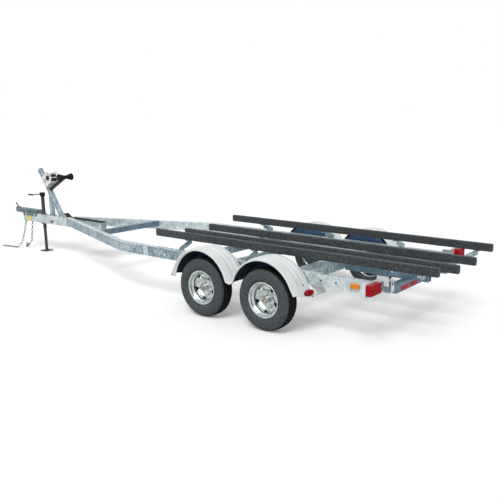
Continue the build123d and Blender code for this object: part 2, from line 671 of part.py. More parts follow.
def jack_head():
    """The cap on the jack's tube with the gear case's crank folded down beside it."""
    cap = rod((JACK_X, 0, JACK_TOP), (JACK_X, 0, JACK_TOP + JACK_HEAD_H), JACK_HEAD_R)
    crank_z = JACK_TOP + JACK_HEAD_H / 2
    end_x = JACK_X + JACK_HEAD_R + JACK_CRANK_OUT
    shaft = rod((JACK_X, 0, crank_z), (end_x, 0, crank_z), JACK_CRANK_R)
    lever = rod((end_x, -JACK_CRANK_R, crank_z), (end_x, JACK_CRANK_L, crank_z), JACK_CRANK_R)
    grip = rod((end_x - JACK_CRANK_R, JACK_CRANK_L, crank_z),
               (end_x + JACK_GRIP_L, JACK_CRANK_L, crank_z), JACK_GRIP_R)
    return cap + shaft + lever + grip


def jack_leg():
    """The jack's inner tube and its square foot, which stands on the floor."""
    leg_r = JACK_R - JACK_WALL - JACK_SLIDE_FIT
    leg = rod((JACK_X, 0, JACK_FOOT_T / 2), (JACK_X, 0, JACK_LEG_TOP), leg_r)
    half = JACK_FOOT_W / 2
    foot = block(JACK_X - half, JACK_X + half, -half, half, 0, JACK_FOOT_T)
    foot = fillet(foot.edges().filter_by(Axis.Z), half / 4)
    hollow = rod((JACK_X, 0, JACK_FOOT_T), (JACK_X, 0, JACK_LEG_TOP + PAST), leg_r - JACK_WALL)
    return leg + foot - hollow


def mast_point(z):
    """The place on the mast's middle line at a height."""
    return MAST_FOOT_X + (z - TONGUE_TOP) * math.tan(math.radians(MAST_LEAN))


def mast():
    """The winch stand's leaning mast on its foot plate."""
    lean = Pos(MAST_FOOT_X, 0, TONGUE_TOP) * Rot(0, MAST_LEAN, 0)
    length = (MAST_TOP_Z - TONGUE_TOP) / math.cos(math.radians(MAST_LEAN))
    half = MAST_W / 2
    wall = STAND_FOOT_T / 2
    tube = lean * block(-half, half, -half, half, -MAST_W, length)
    bore = lean * block(-half + wall, half - wall, -half + wall, half - wall, 0, length + PAST)
    reach = half / math.cos(math.radians(MAST_LEAN)) + STAND_FOOT_MARGIN
    foot = block(MAST_FOOT_X - reach, MAST_FOOT_X + reach, -TONGUE_W / 2, TONGUE_W / 2,
                 TONGUE_TOP, TONGUE_TOP + STAND_FOOT_T)
    under = block(MAST_FOOT_X - 4 * MAST_W, MAST_FOOT_X + 4 * MAST_W, -MAST_W, MAST_W,
                  TONGUE_TOP - 4 * MAST_W, TONGUE_TOP)
    return tube - under + foot - bore


def mast_block():
    """The mast's outer form, longer at both ends."""
    lean = Pos(MAST_FOOT_X, 0, TONGUE_TOP) * Rot(0, MAST_LEAN, 0)
    half = MAST_W / 2
    return lean * block(-half, half, -half, half, -4 * MAST_W, 2 * MAST_TOP_Z)


def strut():
    """The upright under the mast, from the tongue to the mast's front side, with a pin through it."""
    half = STRUT_W / 2
    meet_z = TONGUE_TOP + (STRUT_X - MAST_FOOT_X) / math.tan(math.radians(MAST_LEAN))
    post = block(STRUT_X - half, STRUT_X + half, -half, half, TONGUE_TOP, meet_z)
    lean = Pos(MAST_FOOT_X, 0, TONGUE_TOP) * Rot(0, MAST_LEAN, 0)
    behind = lean * block(-MAST_TOP_Z, 0, -MAST_W, MAST_W, -MAST_TOP_Z, 2 * MAST_TOP_Z)
    foot = block(STRUT_X - half - STAND_FOOT_MARGIN, STRUT_X + half + STAND_FOOT_MARGIN, -TONGUE_W / 2,
                 TONGUE_W / 2, TONGUE_TOP, TONGUE_TOP + STAND_FOOT_T)
    pin = rod((STRUT_X, 0, PIN_Z), (STRUT_X + half + PIN_L, 0, PIN_Z), PIN_R)
    return post - mast_block() - behind + foot + pin


def winch_place():
    """The frame of the winch on the mast's rear side: X out from the mast and Z up along it."""
    return Pos(MAST_FOOT_X, 0, TONGUE_TOP) * Rot(0, MAST_LEAN, 0) * Pos(-MAST_W / 2, 0, WINCH_UP)


def winch_frame():
    """The winch's base plate on the mast and its two side plates, rounded at the drum."""
    half = WINCH_W / 2
    base = block(-WINCH_T, 0, -half, half, -WINCH_H / 2, WINCH_H / 2)
    side_face = make_hull((Pos(-WINCH_T, 0) * Rectangle(2 * WINCH_T, WINCH_H)
                           + Pos(-WINCH_L + WINCH_H / 2, 0) * Circle(WINCH_H / 2)).edges())
    solid = base
    for y in (-half, half - WINCH_T):
        solid += along_y(side_face, y, y + WINCH_T)
    drum_x = -WINCH_L + WINCH_H / 2
    bore = rod((drum_x, -WINCH_W, 0), (drum_x, WINCH_W, 0), DRUM_SHAFT_R + JACK_SLIDE_FIT)
    return winch_place() * (solid - bore)


def winch_drum():
    """The drum with its wound strap, on a shaft through both side plates."""
    drum_x = -WINCH_L + WINCH_H / 2
    half = WINCH_W / 2 - WINCH_T - DRUM_SIDE_GAP
    roll = rod((drum_x, -half, 0), (drum_x, half, 0), DRUM_ROLL_R)
    out = WINCH_W / 2 + 2 * WINCH_CRANK_T
    shaft = rod((drum_x, -out, 0), (drum_x, WINCH_W / 2 + WINCH_T, 0), DRUM_SHAFT_R)
    return winch_place() * (roll + shaft)


def winch_crank():
    """The winch's crank on the shaft's right-hand end, turned past the mast, with its grip."""
    drum_x = -WINCH_L + WINCH_H / 2
    y = -WINCH_W / 2 - 2 * WINCH_CRANK_T
    half = WINCH_CRANK_W / 2
    arm = block(drum_x - half, drum_x + WINCH_CRANK_L, y - WINCH_CRANK_T, y, -half, half)
    knob_x = drum_x + WINCH_CRANK_L - half
    knob = rod((knob_x, y - WINCH_CRANK_T, 0), (knob_x, y - WINCH_CRANK_T - WINCH_KNOB_L, 0), WINCH_KNOB_R)
    return winch_place() * (arm + knob)


def bow_stop():
    """The rubber bow stop, narrow in the middle, on its cross pin."""
    half = STOP_W / 2
    outline = make_face([Line((0, -half), (STOP_END_R, -half)),
                         ThreePointArc((STOP_END_R, -half), (STOP_WAIST_R, 0), (STOP_END_R, half)),
                         Line((STOP_END_R, half), (0, half)), Line((0, half), (0, -half))])
    plane = Plane(origin=(STOP_X, 0, STOP_Z), x_dir=(1, 0, 0), z_dir=(0, 0, 1))
    solid = revolve(plane * outline, Axis((STOP_X, 0, STOP_Z), (0, 1, 0)))
    return solid - stop_arm()


def stop_arm():
    """The bow stop's bent arm, from the mast's rear side to the pin in the stop's waist."""
    foot_x = mast_point(STOP_ARM_FOOT_Z)
    path = [(foot_x, STOP_ARM_FOOT_Z), (STOP_ARM_KNEE_X, STOP_ARM_KNEE_Z), (STOP_X, STOP_Z)]
    strip = ribbon(path, STOP_ARM_T, STOP_ARM_T)
    arm = along_y(strip, -STOP_ARM_W / 2, STOP_ARM_W / 2)
    pin_end = STOP_W / 2 + STOP_PIN_R
    pin = rod((STOP_X, -pin_end, STOP_Z), (STOP_X, pin_end, STOP_Z), STOP_PIN_R)
    return arm + pin - mast_block()


def tail_bracket():
    """The left tail lamp's guard plate on the rear cross-member's end, turned forward at its outer edge."""
    low, high = TAIL_Z - TAIL_H / 2 - TAIL_GUARD_H, TAIL_Z + TAIL_H / 2 + TAIL_GUARD_H
    out_y = RAIL_OUT_Y + TAIL_OUT + TAIL_W + TAIL_GUARD_W
    plate = block(REAR_FACE_X - TAIL_BRACKET_T, REAR_FACE_X, RAIL_OUT_Y - TAIL_BRACKET_LAP, out_y, low, high)
    side = block(REAR_FACE_X - TAIL_BRACKET_T, REAR_FACE_X + TAIL_RETURN, out_y - TAIL_BRACKET_T, out_y,
                 low, high)
    return plate + side


def corner_angle():
    """The angle hooked over the rear cross-member's edge beside the left tail lamp."""
    high = RAIL_TOP + CORNER_H
    hook = block(REAR_FACE_X - CORNER_REAR, REAR_FACE_X, CORNER_Y, CORNER_Y + CORNER_T,
                 RAIL_TOP - CORNER_HANG, high)
    top = block(REAR_FACE_X, RAIL_REAR_X, CORNER_Y, CORNER_Y + CORNER_T, RAIL_TOP, high)
    foot = block(REAR_FACE_X, RAIL_REAR_X, CORNER_Y - CORNER_FOOT, CORNER_Y, RAIL_TOP, RAIL_TOP + CORNER_T)
    return hook + top + foot


def tail_brackets():
    """Both tail lamps' guard plates and the angles beside them."""
    left = [tail_bracket(), corner_angle()]
    return Compound(left + [mirrored(solid) for solid in left])


def tail_light():
    """The left tail lamp's lens, its outer corner rounded so that it shows from the side."""
    front_x = REAR_FACE_X - TAIL_BRACKET_T
    in_y = RAIL_OUT_Y + TAIL_OUT
    lens = block(front_x - TAIL_T, front_x, in_y, in_y + TAIL_W, TAIL_Z - TAIL_H / 2, TAIL_Z + TAIL_H / 2)
    corner = lens.edges().filter_by(Axis.Z).sort_by_distance((front_x - TAIL_T, in_y + TAIL_W, TAIL_Z))[0]
    return fillet(corner, TAIL_CORNER_R)


def amber_markers():
    """The amber side lamps: one on each rail near the rear and one on each side of the tongue."""
    z = RAIL_TOP - RAIL_H / 2
    rear = block(MARKER_X - MARKER_L / 2, MARKER_X + MARKER_L / 2, RAIL_OUT_Y, RAIL_OUT_Y + MARKER_T,
                 z - MARKER_H / 2, z + MARKER_H / 2)
    tz = TONGUE_BOTTOM + TONGUE_H / 3
    front = block(TONGUE_MARKER_X - TONGUE_MARKER_L / 2, TONGUE_MARKER_X + TONGUE_MARKER_L / 2, TONGUE_W / 2,
                  TONGUE_W / 2 + MARKER_T, tz - TONGUE_MARKER_H / 2, tz + TONGUE_MARKER_H / 2)
    lamps = [fillet(lamp.faces().sort_by(Axis.Y)[-1].edges(), MARKER_T / 3) for lamp in (rear, front)]
    return Compound(lamps + [mirrored(lamp) for lamp in lamps])


def fender_marker():
    """The red oval lamp on the left fender's rear slope."""
    rise = FENDER_END_TOP - FENDER_BOTTOM
    lean = slope_x(FENDER_BOTTOM) - slope_x(FENDER_END_TOP)
    plane = Plane(origin=(-slope_x(FENDER_MARKER_Z), FENDER_MARKER_Y, FENDER_MARKER_Z), x_dir=(0, -1, 0),
                  z_dir=(-rise, 0, lean))
    lamp = extrude(plane * Ellipse(FENDER_MARKER_L / 2, FENDER_MARKER_H / 2), FENDER_MARKER_T)
    return fillet(lamp.edges().sort_by(Axis.X)[0], FENDER_MARKER_T / 3)


def tongue_plate():
    """The blank plate on the tongue's left side near the coupler."""
    z = (TONGUE_BOTTOM + TONGUE_TOP - COUPLER_CHEEK) / 2
    return block(PLATE_X - PLATE_L / 2, PLATE_X + PLATE_L / 2, TONGUE_W / 2, TONGUE_W / 2 + PLATE_T,
                 z - PLATE_H / 2, z + PLATE_H / 2)


def tongue_pad():
    """The carpeted pad on the tongue behind the mast, its front end turned up."""
    front_x = MAST_FOOT_X - MAST_W - STAND_FOOT_MARGIN - PAD_T
    path = [(TONGUE_REAR_X, TONGUE_TOP + PAD_T / 2), (front_x - PAD_RAMP, TONGUE_TOP + PAD_T / 2),
            (front_x, TONGUE_TOP + PAD_T / 2 + PAD_RISE)]
    return along_y(ribbon(path, PAD_T, 2 * PAD_T), -PAD_W / 2, PAD_W / 2)


def link_frame(place):
    """One chain link as a square-cornered ring along its place's X."""
    length = LINK_PITCH + 2 * LINK_BAR
    ring = Box(length, LINK_W, LINK_BAR) - Box(LINK_PITCH, LINK_W - 2 * LINK_BAR, 2 * LINK_BAR)
    return place * ring


def along(points, distance):
    """The point at a distance along a run of straight lines."""
    for a, b in zip(points, points[1:]):
        length = (b - a).length
        if distance <= length:
            return a + (b - a) * (distance / length)
        distance -= length
    return points[-1]


def chain(route):
    """A chain of links along a route, every other link turned a quarter and lying into the last."""
    points = [Vector(*p) for p in route]
    step = LINK_PITCH + LINK_BITE
    count = int(sum((b - a).length for a, b in zip(points, points[1:])) / step)
    links = []
    for i in range(count):
        start, end = along(points, i * step), along(points, (i + 1) * step)
        run = (end - start).normalized()
        side = Vector(0, 1, 0) if abs(run.Z) > abs(run.X) else Vector(0, 0, 1)
        side = (side - run * side.dot(run)).normalized()
        across = run.cross(side)
        normal = side + across if i % 2 == 0 else side - across
        links.append(link_frame(Plane(origin=(start + end) / 2, x_dir=run, z_dir=normal.normalized())))
    return Part() + links


def chain_eye(x, y):
    """The eye under the tongue that a chain hangs from."""
    return block(x - LINK_W / 2, x + LINK_W / 2, y - CHAIN_EYE_T / 2, y + CHAIN_EYE_T / 2,
                 TONGUE_BOTTOM - LINK_W, TONGUE_BOTTOM)


def safety_chains():
    """Both safety chains, from the eyes under the tongue's front end to the floor."""
    lie = (LINK_W + LINK_BAR) / 2 * math.sqrt(0.5) + FLOOR_ROOM
    hang = TONGUE_BOTTOM - LINK_W / 2
    first = [(5690, 30, hang), (5700, 80, 250), (5740, 100, 110), (5790, 157, lie), (6000, 186, lie),
             (6180, 227, lie)]
    second = [(5590, -30, hang), (5620, 0, 130), (5700, 30, lie), (5800, 0, lie), (5860, -70, lie),
              (5930, -130, lie), (6020, -140, lie)]
    chains = [chain(route) + chain_eye(route[0][0], route[0][1]) for route in (first, second)]
    return Compound(chains)


def build_all():
    """Every node's shape by name."""
    left_rail = rail()
    left_fender = fender()
    nodes = {
        "rail_left": left_rail,
        "rail_right": mirrored(left_rail),
        "tongue": tongue(),
        "crossmember_front": straight_cross(CROSS_FRONT_X),
        "crossmember_middle": straight_cross(CROSS_MIDDLE_X),
        "crossmember_axle": straight_cross(CROSS_AXLE_X),
        "crossmember_rear": rear_cross(),
        "axle_front": axle(FRONT),
        "axle_rear": axle(REAR),
        "fender_left": left_fender,
        "fender_right": mirrored(left_fender),
        "fender_brackets": fender_brackets(),
        "bunk_outer_left": bunk(OUTER_BUNK_Y, OUTER_BUNK_TOP),
        "bunk_inner_left": bunk(INNER_BUNK_Y, INNER_BUNK_TOP),
        "bunk_inner_right": bunk(-INNER_BUNK_Y, INNER_BUNK_TOP),
        "bunk_outer_right": bunk(-OUTER_BUNK_Y, OUTER_BUNK_TOP),
        "bunk_beams": sides(bunk_beam()),
        "bunk_posts": bunk_posts(),
        "rear_braces": sides(rear_brace()),
        "coupler": coupler(),
        "coupler_latch": coupler_latch(),
        "jack_tube": jack_tube(),
        "jack_head": jack_head(),
        "jack_leg": jack_leg(),
        "winch_mast": mast(),
        "winch_strut": strut(),
        "winch_frame": winch_frame(),
        "winch_drum": winch_drum(),
        "winch_crank": winch_crank(),
        "bow_stop_arm": stop_arm(),
        "bow_stop": bow_stop(),
        "tail_brackets": tail_brackets(),
        "tail_lights": sides(tail_light()),
        "amber_markers": amber_markers(),
        "fender_markers": sides(fender_marker()),
        "tongue_plate": tongue_plate(),
        "tongue_pad": tongue_pad(),
        "safety_chains": safety_chains(),
    }
    for end, end_name in ((FRONT, "front"), (REAR, "rear")):
        for side, side_name in ((LEFT, "left"), (RIGHT, "right")):
            x = end * AXLE_SPACING / 2
            where = f"{end_name}_{side_name}"
            nodes[f"tyre_{where}"] = turned(tyre_profile(), x, side)
            nodes[f"rim_{where}"] = rim(x, side)
            nodes[f"hub_{where}"] = hub(x, side)
    return nodes


os.makedirs("parts", exist_ok=True)
shapes = build_all()
box = Compound([shape.moved(Location()) for shape in shapes.values()]).bounding_box()
middle_x = (box.min.X + box.max.X) / 2
for name, shape in shapes.items():
    export_step(shape.moved(Location((-middle_x, 0, 0))), f"parts/{name}.step")
print("shift of the axle midpoint along X:", round(-middle_x, 3))
print("box:", [round(v, 1) for v in (*box.min, *box.max)])
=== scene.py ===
"""Finish of a tandem-axle bunk boat trailer, built around its fixed CAD frame.

Metres, in the frame's own axes. Most places are given from the point midway between the axles, as in
the part's own source, and at() moves them into the frame.
"""
import json
from math import asin, copysign, cos, exp, hypot, pi, radians, sin, sqrt, tan, tau

import bmesh
import bpy
from mathutils import Matrix, Vector, noise
from mathutils.bvhtree import BVHTree


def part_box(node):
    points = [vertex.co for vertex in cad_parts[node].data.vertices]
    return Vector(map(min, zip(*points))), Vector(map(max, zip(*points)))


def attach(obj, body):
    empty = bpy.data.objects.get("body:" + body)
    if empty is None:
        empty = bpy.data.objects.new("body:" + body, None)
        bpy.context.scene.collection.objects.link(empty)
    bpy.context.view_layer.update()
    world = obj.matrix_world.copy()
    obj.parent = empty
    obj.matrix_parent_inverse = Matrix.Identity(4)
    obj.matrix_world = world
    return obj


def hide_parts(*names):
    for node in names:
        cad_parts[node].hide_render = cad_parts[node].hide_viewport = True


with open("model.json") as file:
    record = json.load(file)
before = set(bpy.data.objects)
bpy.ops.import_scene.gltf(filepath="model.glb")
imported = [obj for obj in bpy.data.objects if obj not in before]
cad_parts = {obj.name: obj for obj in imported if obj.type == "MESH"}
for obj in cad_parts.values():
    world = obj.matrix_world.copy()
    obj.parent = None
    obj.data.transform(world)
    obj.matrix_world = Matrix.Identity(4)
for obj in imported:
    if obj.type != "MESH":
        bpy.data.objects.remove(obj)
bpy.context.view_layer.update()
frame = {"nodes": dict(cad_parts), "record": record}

SIDES = {"left": 1, "right": -1}
WHEELS = {f"{end}_{side}": sign for end in ("front", "rear") for side, sign in SIDES.items()}
BODY_OF = {node: body for body, nodes in frame["record"]["behaviour"]["bodies"].items() for node in nodes}


def middle(node):
    """The middle of a node's box."""
    low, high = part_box(node)
    return (low + high) / 2


AXLE_X = (middle("tyre_front_left").x + middle("tyre_rear_left").x) / 2
WHEEL_X = middle("tyre_front_left").x - AXLE_X
FLOOR_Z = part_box("jack_leg")[0].z
RAIL_LOW, RAIL_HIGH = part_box("rail_left")
RAIL_MID_Z = (RAIL_LOW.z + RAIL_HIGH.z) / 2
TONGUE_LOW, TONGUE_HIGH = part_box("tongue")
REAR_LOW, REAR_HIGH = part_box("crossmember_rear")

# Meshes: degrees of sharp edges and a flat joint, what counts as one point or as outside, rounded edges, bars
SHARP, TREAD_SHARP, SKIN_SHARP, MOULDED_SHARP, SOFT_SHARP, FLAT = 38, 32, 45, 50, 60, 1
MERGE, CAD_MERGE, OUTSIDE = 1e-6, 1e-5, 0.5
EDGE_SEGMENTS, BAR_TURNS, THIN_TURNS = 2, 10, 8
BEAM_EDGE, FINE_EDGE, RAIL_EDGE, MAST_EDGE, CRANK_EDGE, SIGN_EDGE = 0.004, 0.002, 0.006, 0.009, 0.003, 0.0008

# Bolts: steps round, then radius and height in units of the head's half width
WASHER = 20, ((0, 0), (1.25, 0), (1.25, 0.16), (0, 0.16))
HEAD = 6, ((0, 0.16), (1, 0.16), (1, 0.7), (0.86, 0.82), (0, 0.82))

# Tyres, from the wheel's own middle, with the walls' rings as radius, width and rise
TYRE_R, TYRE_TURNS = 0.34, 288
WALL_MID_R, WALL_R, WALL_MID_H, WALL_H, WALL_STEPS = 0.262, 0.066, 0.0615, 0.0405, 18
WALL_RINGS = ((0.215, 0.004, 0.0016), (0.24, 0.003, 0.0009), (0.303, 0.003, 0.0012))
SHOULDER_R, SHOULDER_H = TYRE_R - 0.0065, WALL_MID_H - 0.001
TREAD_HALF, TREAD_FALL, TREAD_SHADE_DEPTH = 0.057, 0.003, 0.014
GROOVES, GROOVE_HALF, GROOVE_FLOOR_HALF, GROOVE_D = (0.041, 0.0145, -0.0145, -0.041), 0.004, 0.00288, 0.007
ZIGZAG, ZIGZAG_TURNS = 0.003, 8
SLOT_D, SLOT_EVERY, SLOT_LONG = 0.006, 6, 2
BEAD_R, BEAD_H = 0.1805, 0.07

# Wheels and hubs: profiles are pairs of radius and height, turned shapes have their steps round first
DISC_IN_R, DISC_OUT_R, DISC_T, DISC_RINGS, DISC_TURNS = 0.042, 0.157, 0.006, 22, 160
DISC_FLAT_R, DISC_CROWN_R, DISC_CROWN_H, DISC_EDGE_H = 0.078, 0.122, 0.03, 0.021
PANEL_FALL, PANEL_POWER = 0.015, 1.5
WINDOWS, WINDOW_TURN, WINDOW_CUT = 5, radians(18), (-0.05, 0.08)
WINDOW_TIP_R, WINDOW_BASE_R, WINDOW_HALF, WINDOW_ROUND = 0.087, 0.15, 0.036, 0.007
NUT_R, NUT_SIZE = 0.06, 0.0115
RIM_TURNS, RIM_SHADE_H, RIM_SHADE_R = 96, 0.018, DISC_OUT_R - 0.004
RIM_TYRE_SIDE = ((0.1935, 0.0835), (0.1962, 0.0815), (0.1965, 0.0785), (0.1945, 0.0765), (0.188, 0.0755),
                 (0.1802, 0.0745), (0.179, 0.052), (0.173, 0.046), (0.164, 0.04), (0.1605, 0.034))
RIM_AIR_SIDE = ((0.1545, 0.036), (0.158, 0.042), (0.167, 0.049), (0.1735, 0.056), (0.175, 0.074),
                (0.18, 0.0785), (0.188, 0.082))
DRUM = 64, ((0.024, -0.12), (0.124, -0.12), (0.13, -0.114), (0.13, -0.066), (0.124, -0.06), (0.054, -0.06),
            (0.052, -0.012), (0.076, -0.012), (0.078, -0.01), (0.078, -0.001), (0.041, 0))
HUB_CAP = 48, ((0.041, 0), (0.041, 0.03), (0.039, 0.038), (0.034, 0.044), (0.0305, 0.046), (0.0305, 0.071),
               (0.0285, 0.0765), (0.025, 0.078), (0.021, 0.078), (0.0195, 0.0755))
HUB_PLUG = 32, ((0.0195, 0.0755), (0.018, 0.0735), (0.01, 0.0735), (0.0085, 0.0765), (0, 0.077))
STUD = 12, ((0.006, 0), (0.006, 0.016), (0.0045, 0.018), (0, 0.018))

# Fenders: outline from the side, then the section across it, then apron and toe
FENDER_IN, FENDER_OUT = 0.94, 1.236
ARCH_R, ARCH_Z = 0.43, 0.36
VALLEY_Z, SLOPE_Z, FOOT_Z, FOOT_X = 0.475, 0.54, 0.401, 0.912
FOOT_RISE = 0.059
SLOPE_END_X = WHEEL_X + sqrt(ARCH_R ** 2 - (SLOPE_Z - ARCH_Z) ** 2)
LEAN = (FOOT_X - SLOPE_END_X) / (SLOPE_Z - FOOT_Z)
SLOPE_NORMAL = (1 / hypot(1, LEAN), LEAN / hypot(1, LEAN))
ARCH_STEPS, SLOPE_STEPS, FADE_STEPS = 40, 12, 6
SKIN, FLANGE, SKIRT = 0.003, 0.03, 0.028
FLANGE_ROUND, FLANGE_SOFT = 0.006, 0.0018
RIBS, RIB_H, RIB_HALF, RIB_SHIFT, RIB_STEPS = 3, 0.006, 0.013, 0.01, 10
EDGE_BEAD, EDGE_STEP, EDGE_ROUND, EDGE_STEPS = 0.04, 0.004, 0.014, 6
EDGE_FALL = ((-0.004, 0), (0, 0.2), (0.003, 1))
HEM = ((0, 0.004), (0.002, 0.001), (0.012, 0))
APRON_IN, APRON_OUT, APRON_STEPS = 0.71, FENDER_IN + 0.004, 2
TOE_LOW, TOE_HALF, TOE_TOP, TOE_INSET, TOE_STEPS = 0.428, 0.368, 0.402, 0.004, 24

# Carpet: its waves, and a bunk's ends by distance and inset
SWELL, SWELL_ALONG, SWELL_ACROSS = 0.0012, 5, 9
CORNER_STEPS = 5
BUNK_NODES = ("bunk_outer_left", "bunk_inner_left", "bunk_inner_right", "bunk_outer_right")
BUNK_ENDS = ((0, 0.012), (0.003, 0.006), (0.008, 0.0025), (0.016, 0.001))
BUNK_FOLD, BUNK_INSET, BUNK_ROUND, BUNK_STEPS, BUNK_SEED_STEP = 0.03, 0.0015, 0.011, 80, 3.7
PAD_T, PAD_RAMP, PAD_INSET, PAD_ROUND, PAD_STEPS, PAD_SEED = 0.014, 0.121, 0.001, 0.006, 60, 7

# Tail lamps, tape and the red ovals' surrounds
LENS_W, LENS_ROUND, LENS_ROUND_X, LENS_ROUND_STEPS = 0.21, 0.022, 0.02, 8
LENS_START, LENS_END = ((0.01, 0), (0.003, 0.004), (0.002, 0.01)), ((0.012, 0), (0, 0.002))
LENS_EDGE = ((0, 0.006), (0.002, 0.002), (0.007, 0))
LENS_CREASE = ((-0.002, 0), (0, 0.003), (0.002, 0))
FLUTES, FLUTE_STEPS, FLUTE_X, FLUTE_D, FLUTE_IN, FLUTE_OUT = 14, 6, 0.0045, 0.0035, 0.012, 0.026
TAPE_YS, TAPE_L = (-0.42, -0.2, 0.02, 0.24), 0.18
TAPE_LOW, TAPE_HIGH, TAPE_PROUD, TAPE_SUNK = 0.012, 0.06, 0.0012, 0.0004
OVAL_Y, OVAL_Z, OVAL_HALF_Y, OVAL_HALF_Z = 1.005, 0.448, 0.078, 0.0305
OVAL_PROUD, OVAL_BAR, OVAL_TURNS = 0.003, 0.004, 48

# Winch stand, with the winch in a frame that leans with the mast
MAST_FOOT_X, MAST_LEAN, MAST_W = 4.683, radians(34.5), 0.064
STRUT_X, KNOB_X, KNOB_Z = 4.945, 4.9939, 0.81
KNOB = 24, ((0, 0), (0.008, 0), (0.011, 0.004), (0.0128, 0.012), (0.0128, 0.02), (0.01, 0.0228), (0, 0.0229))
WINCH_UP, WINCH_L, WINCH_H, WINCH_W, WINCH_T, WINCH_STEPS = 0.637, 0.24, 0.19, 0.15, 0.006, 24
WINCH_HOLES, WINCH_HOLE_TURNS = ((-0.058, 0.024, 0.046), (-0.205, 0.018, 0.04)), 28
WINCH_RODS, ROD_R, ROD_TURNS, ROD_BOLT = ((0, 0.084), (-0.075, -0.04)), 0.006, 16, 0.008
PLATE_EDGE = 0.0006
SHAFT_COVER = 40, ((0.013, 0), (0.04, 0), (0.042, 0.002), (0.04, 0.007), (0, 0.009))
SHAFT = 24, ((0, -0.03), (0.011, -0.03), (0.012, -0.028), (0.012, 0.142), (0.01, 0.144), (0, 0.144))
SHAFT_R, DRUM_Y = 0.012, -0.064
WRAPS, WRAP_R, WRAP_BULGE_R, WRAP_UNEVEN, WRAP_STEP, WRAP_START = 9, 0.056, 0.0585, 0.0006, 0.012, 0.01
WRAP_END, STRAP_END, WRAP_TURNS = 0.12, 0.128, 56
GEAR_TEETH, GEAR_TIP_R, GEAR_ROOT_R, GEAR_HS, GEAR_T = 28, 0.061, 0.0555, (0.0015, 0.122), 0.005
STOP_BORE, STOP_WAIST, STOP_POWER, STOP_STEPS, STOP_BOLT = 0.012, 0.027, 1.35, 32, 0.009
STOP_LIP, STOP_TURNS = 0.01, 64
STOP_EDGE = ((0.006, 0), (0.001, 0.003), (0, STOP_LIP))

# Tongue: jack, coupler, blank plate and end plates
JACK_X, JACK_BOLTS, JACK_BOLT_R, JACK_BOLT_FALL = 5.195, 3, 0.048, 0.012
COUPLER_X, COUPLER_Y, COUPLER_HOLE = 5.32, 0.057, (5.5, 0.03, 0.022)
SIGN_X, SIGN_Z = 5.55, (TONGUE_LOW.z + TONGUE_HIGH.z - 0.046) / 2
CAP_WALL, COUPLER_CAP, TONGUE_CAP = 0.006, (0.001, 0.005), (0.002, 0.006)

# Safety chains: the routes of the part's own source, in metres
CHAIN_LIE = 0.015
LINK_STEP, LINK_L, LINK_W, LINK_BAR, LINK_POINTS = 0.043, 0.06, 0.034, 0.0088, 24
EYE_HALF_X, EYE_HALF_Y, EYE_H = 0.017, 0.007, 0.034
CHAIN_ROUTES = (
    ((5.69, 0.03, 0.465), (5.7, 0.08, 0.25), (5.74, 0.1, 0.11), (5.79, 0.157, CHAIN_LIE),
     (6, 0.186, CHAIN_LIE), (6.18, 0.227, CHAIN_LIE)),
    ((5.59, -0.03, 0.465), (5.62, 0, 0.13), (5.7, 0.03, CHAIN_LIE), (5.8, 0, CHAIN_LIE),
     (5.86, -0.07, CHAIN_LIE), (5.93, -0.13, CHAIN_LIE), (6.02, -0.14, CHAIN_LIE)),
)

# Clamps on the rear cross-member's sloping ends
CLAMP_YS, CLAMP_LOW, CLAMP_HIGH = (0.612, 0.65), 0.498, 0.606
CLAMP_LAP, CLAMP_H, CLAMP_T = 0.01, 0.056, 0.016
U_BOLT_R, U_BOLT_REACH, U_BOLT_SAG, U_BOLT_STEPS, U_BOLT_NUT = 0.006, 0.02, 0.01, 8, 0.01
SADDLE_X, SADDLE_Y, SADDLE_T = 0.022, 0.02, 0.006

# Rails and fenders: welds, a pale band and open holes
WELD_XS, WELD_R = (-0.895, 1.385, 2.13, 4.17), 0.0035
PALE_BAND_X0, PALE_BAND_X1, PALE_BAND_T, PALE_BAND_EDGE = 1.605, 1.685, 0.0015, 0.001
RAIL_HOLE_XS, RAIL_HOLE_R = (-0.985, -1.165, 1.85), 0.011
FENDER_HOLE_YS, FENDER_HOLE_Z, FENDER_HOLE_R = (1.035, 1.075), 0.53, 0.01
HOLE_TURNS, HOLE_DISC = 20, ((0, 0.0004), (1, 0.0004), (1, -0.001))

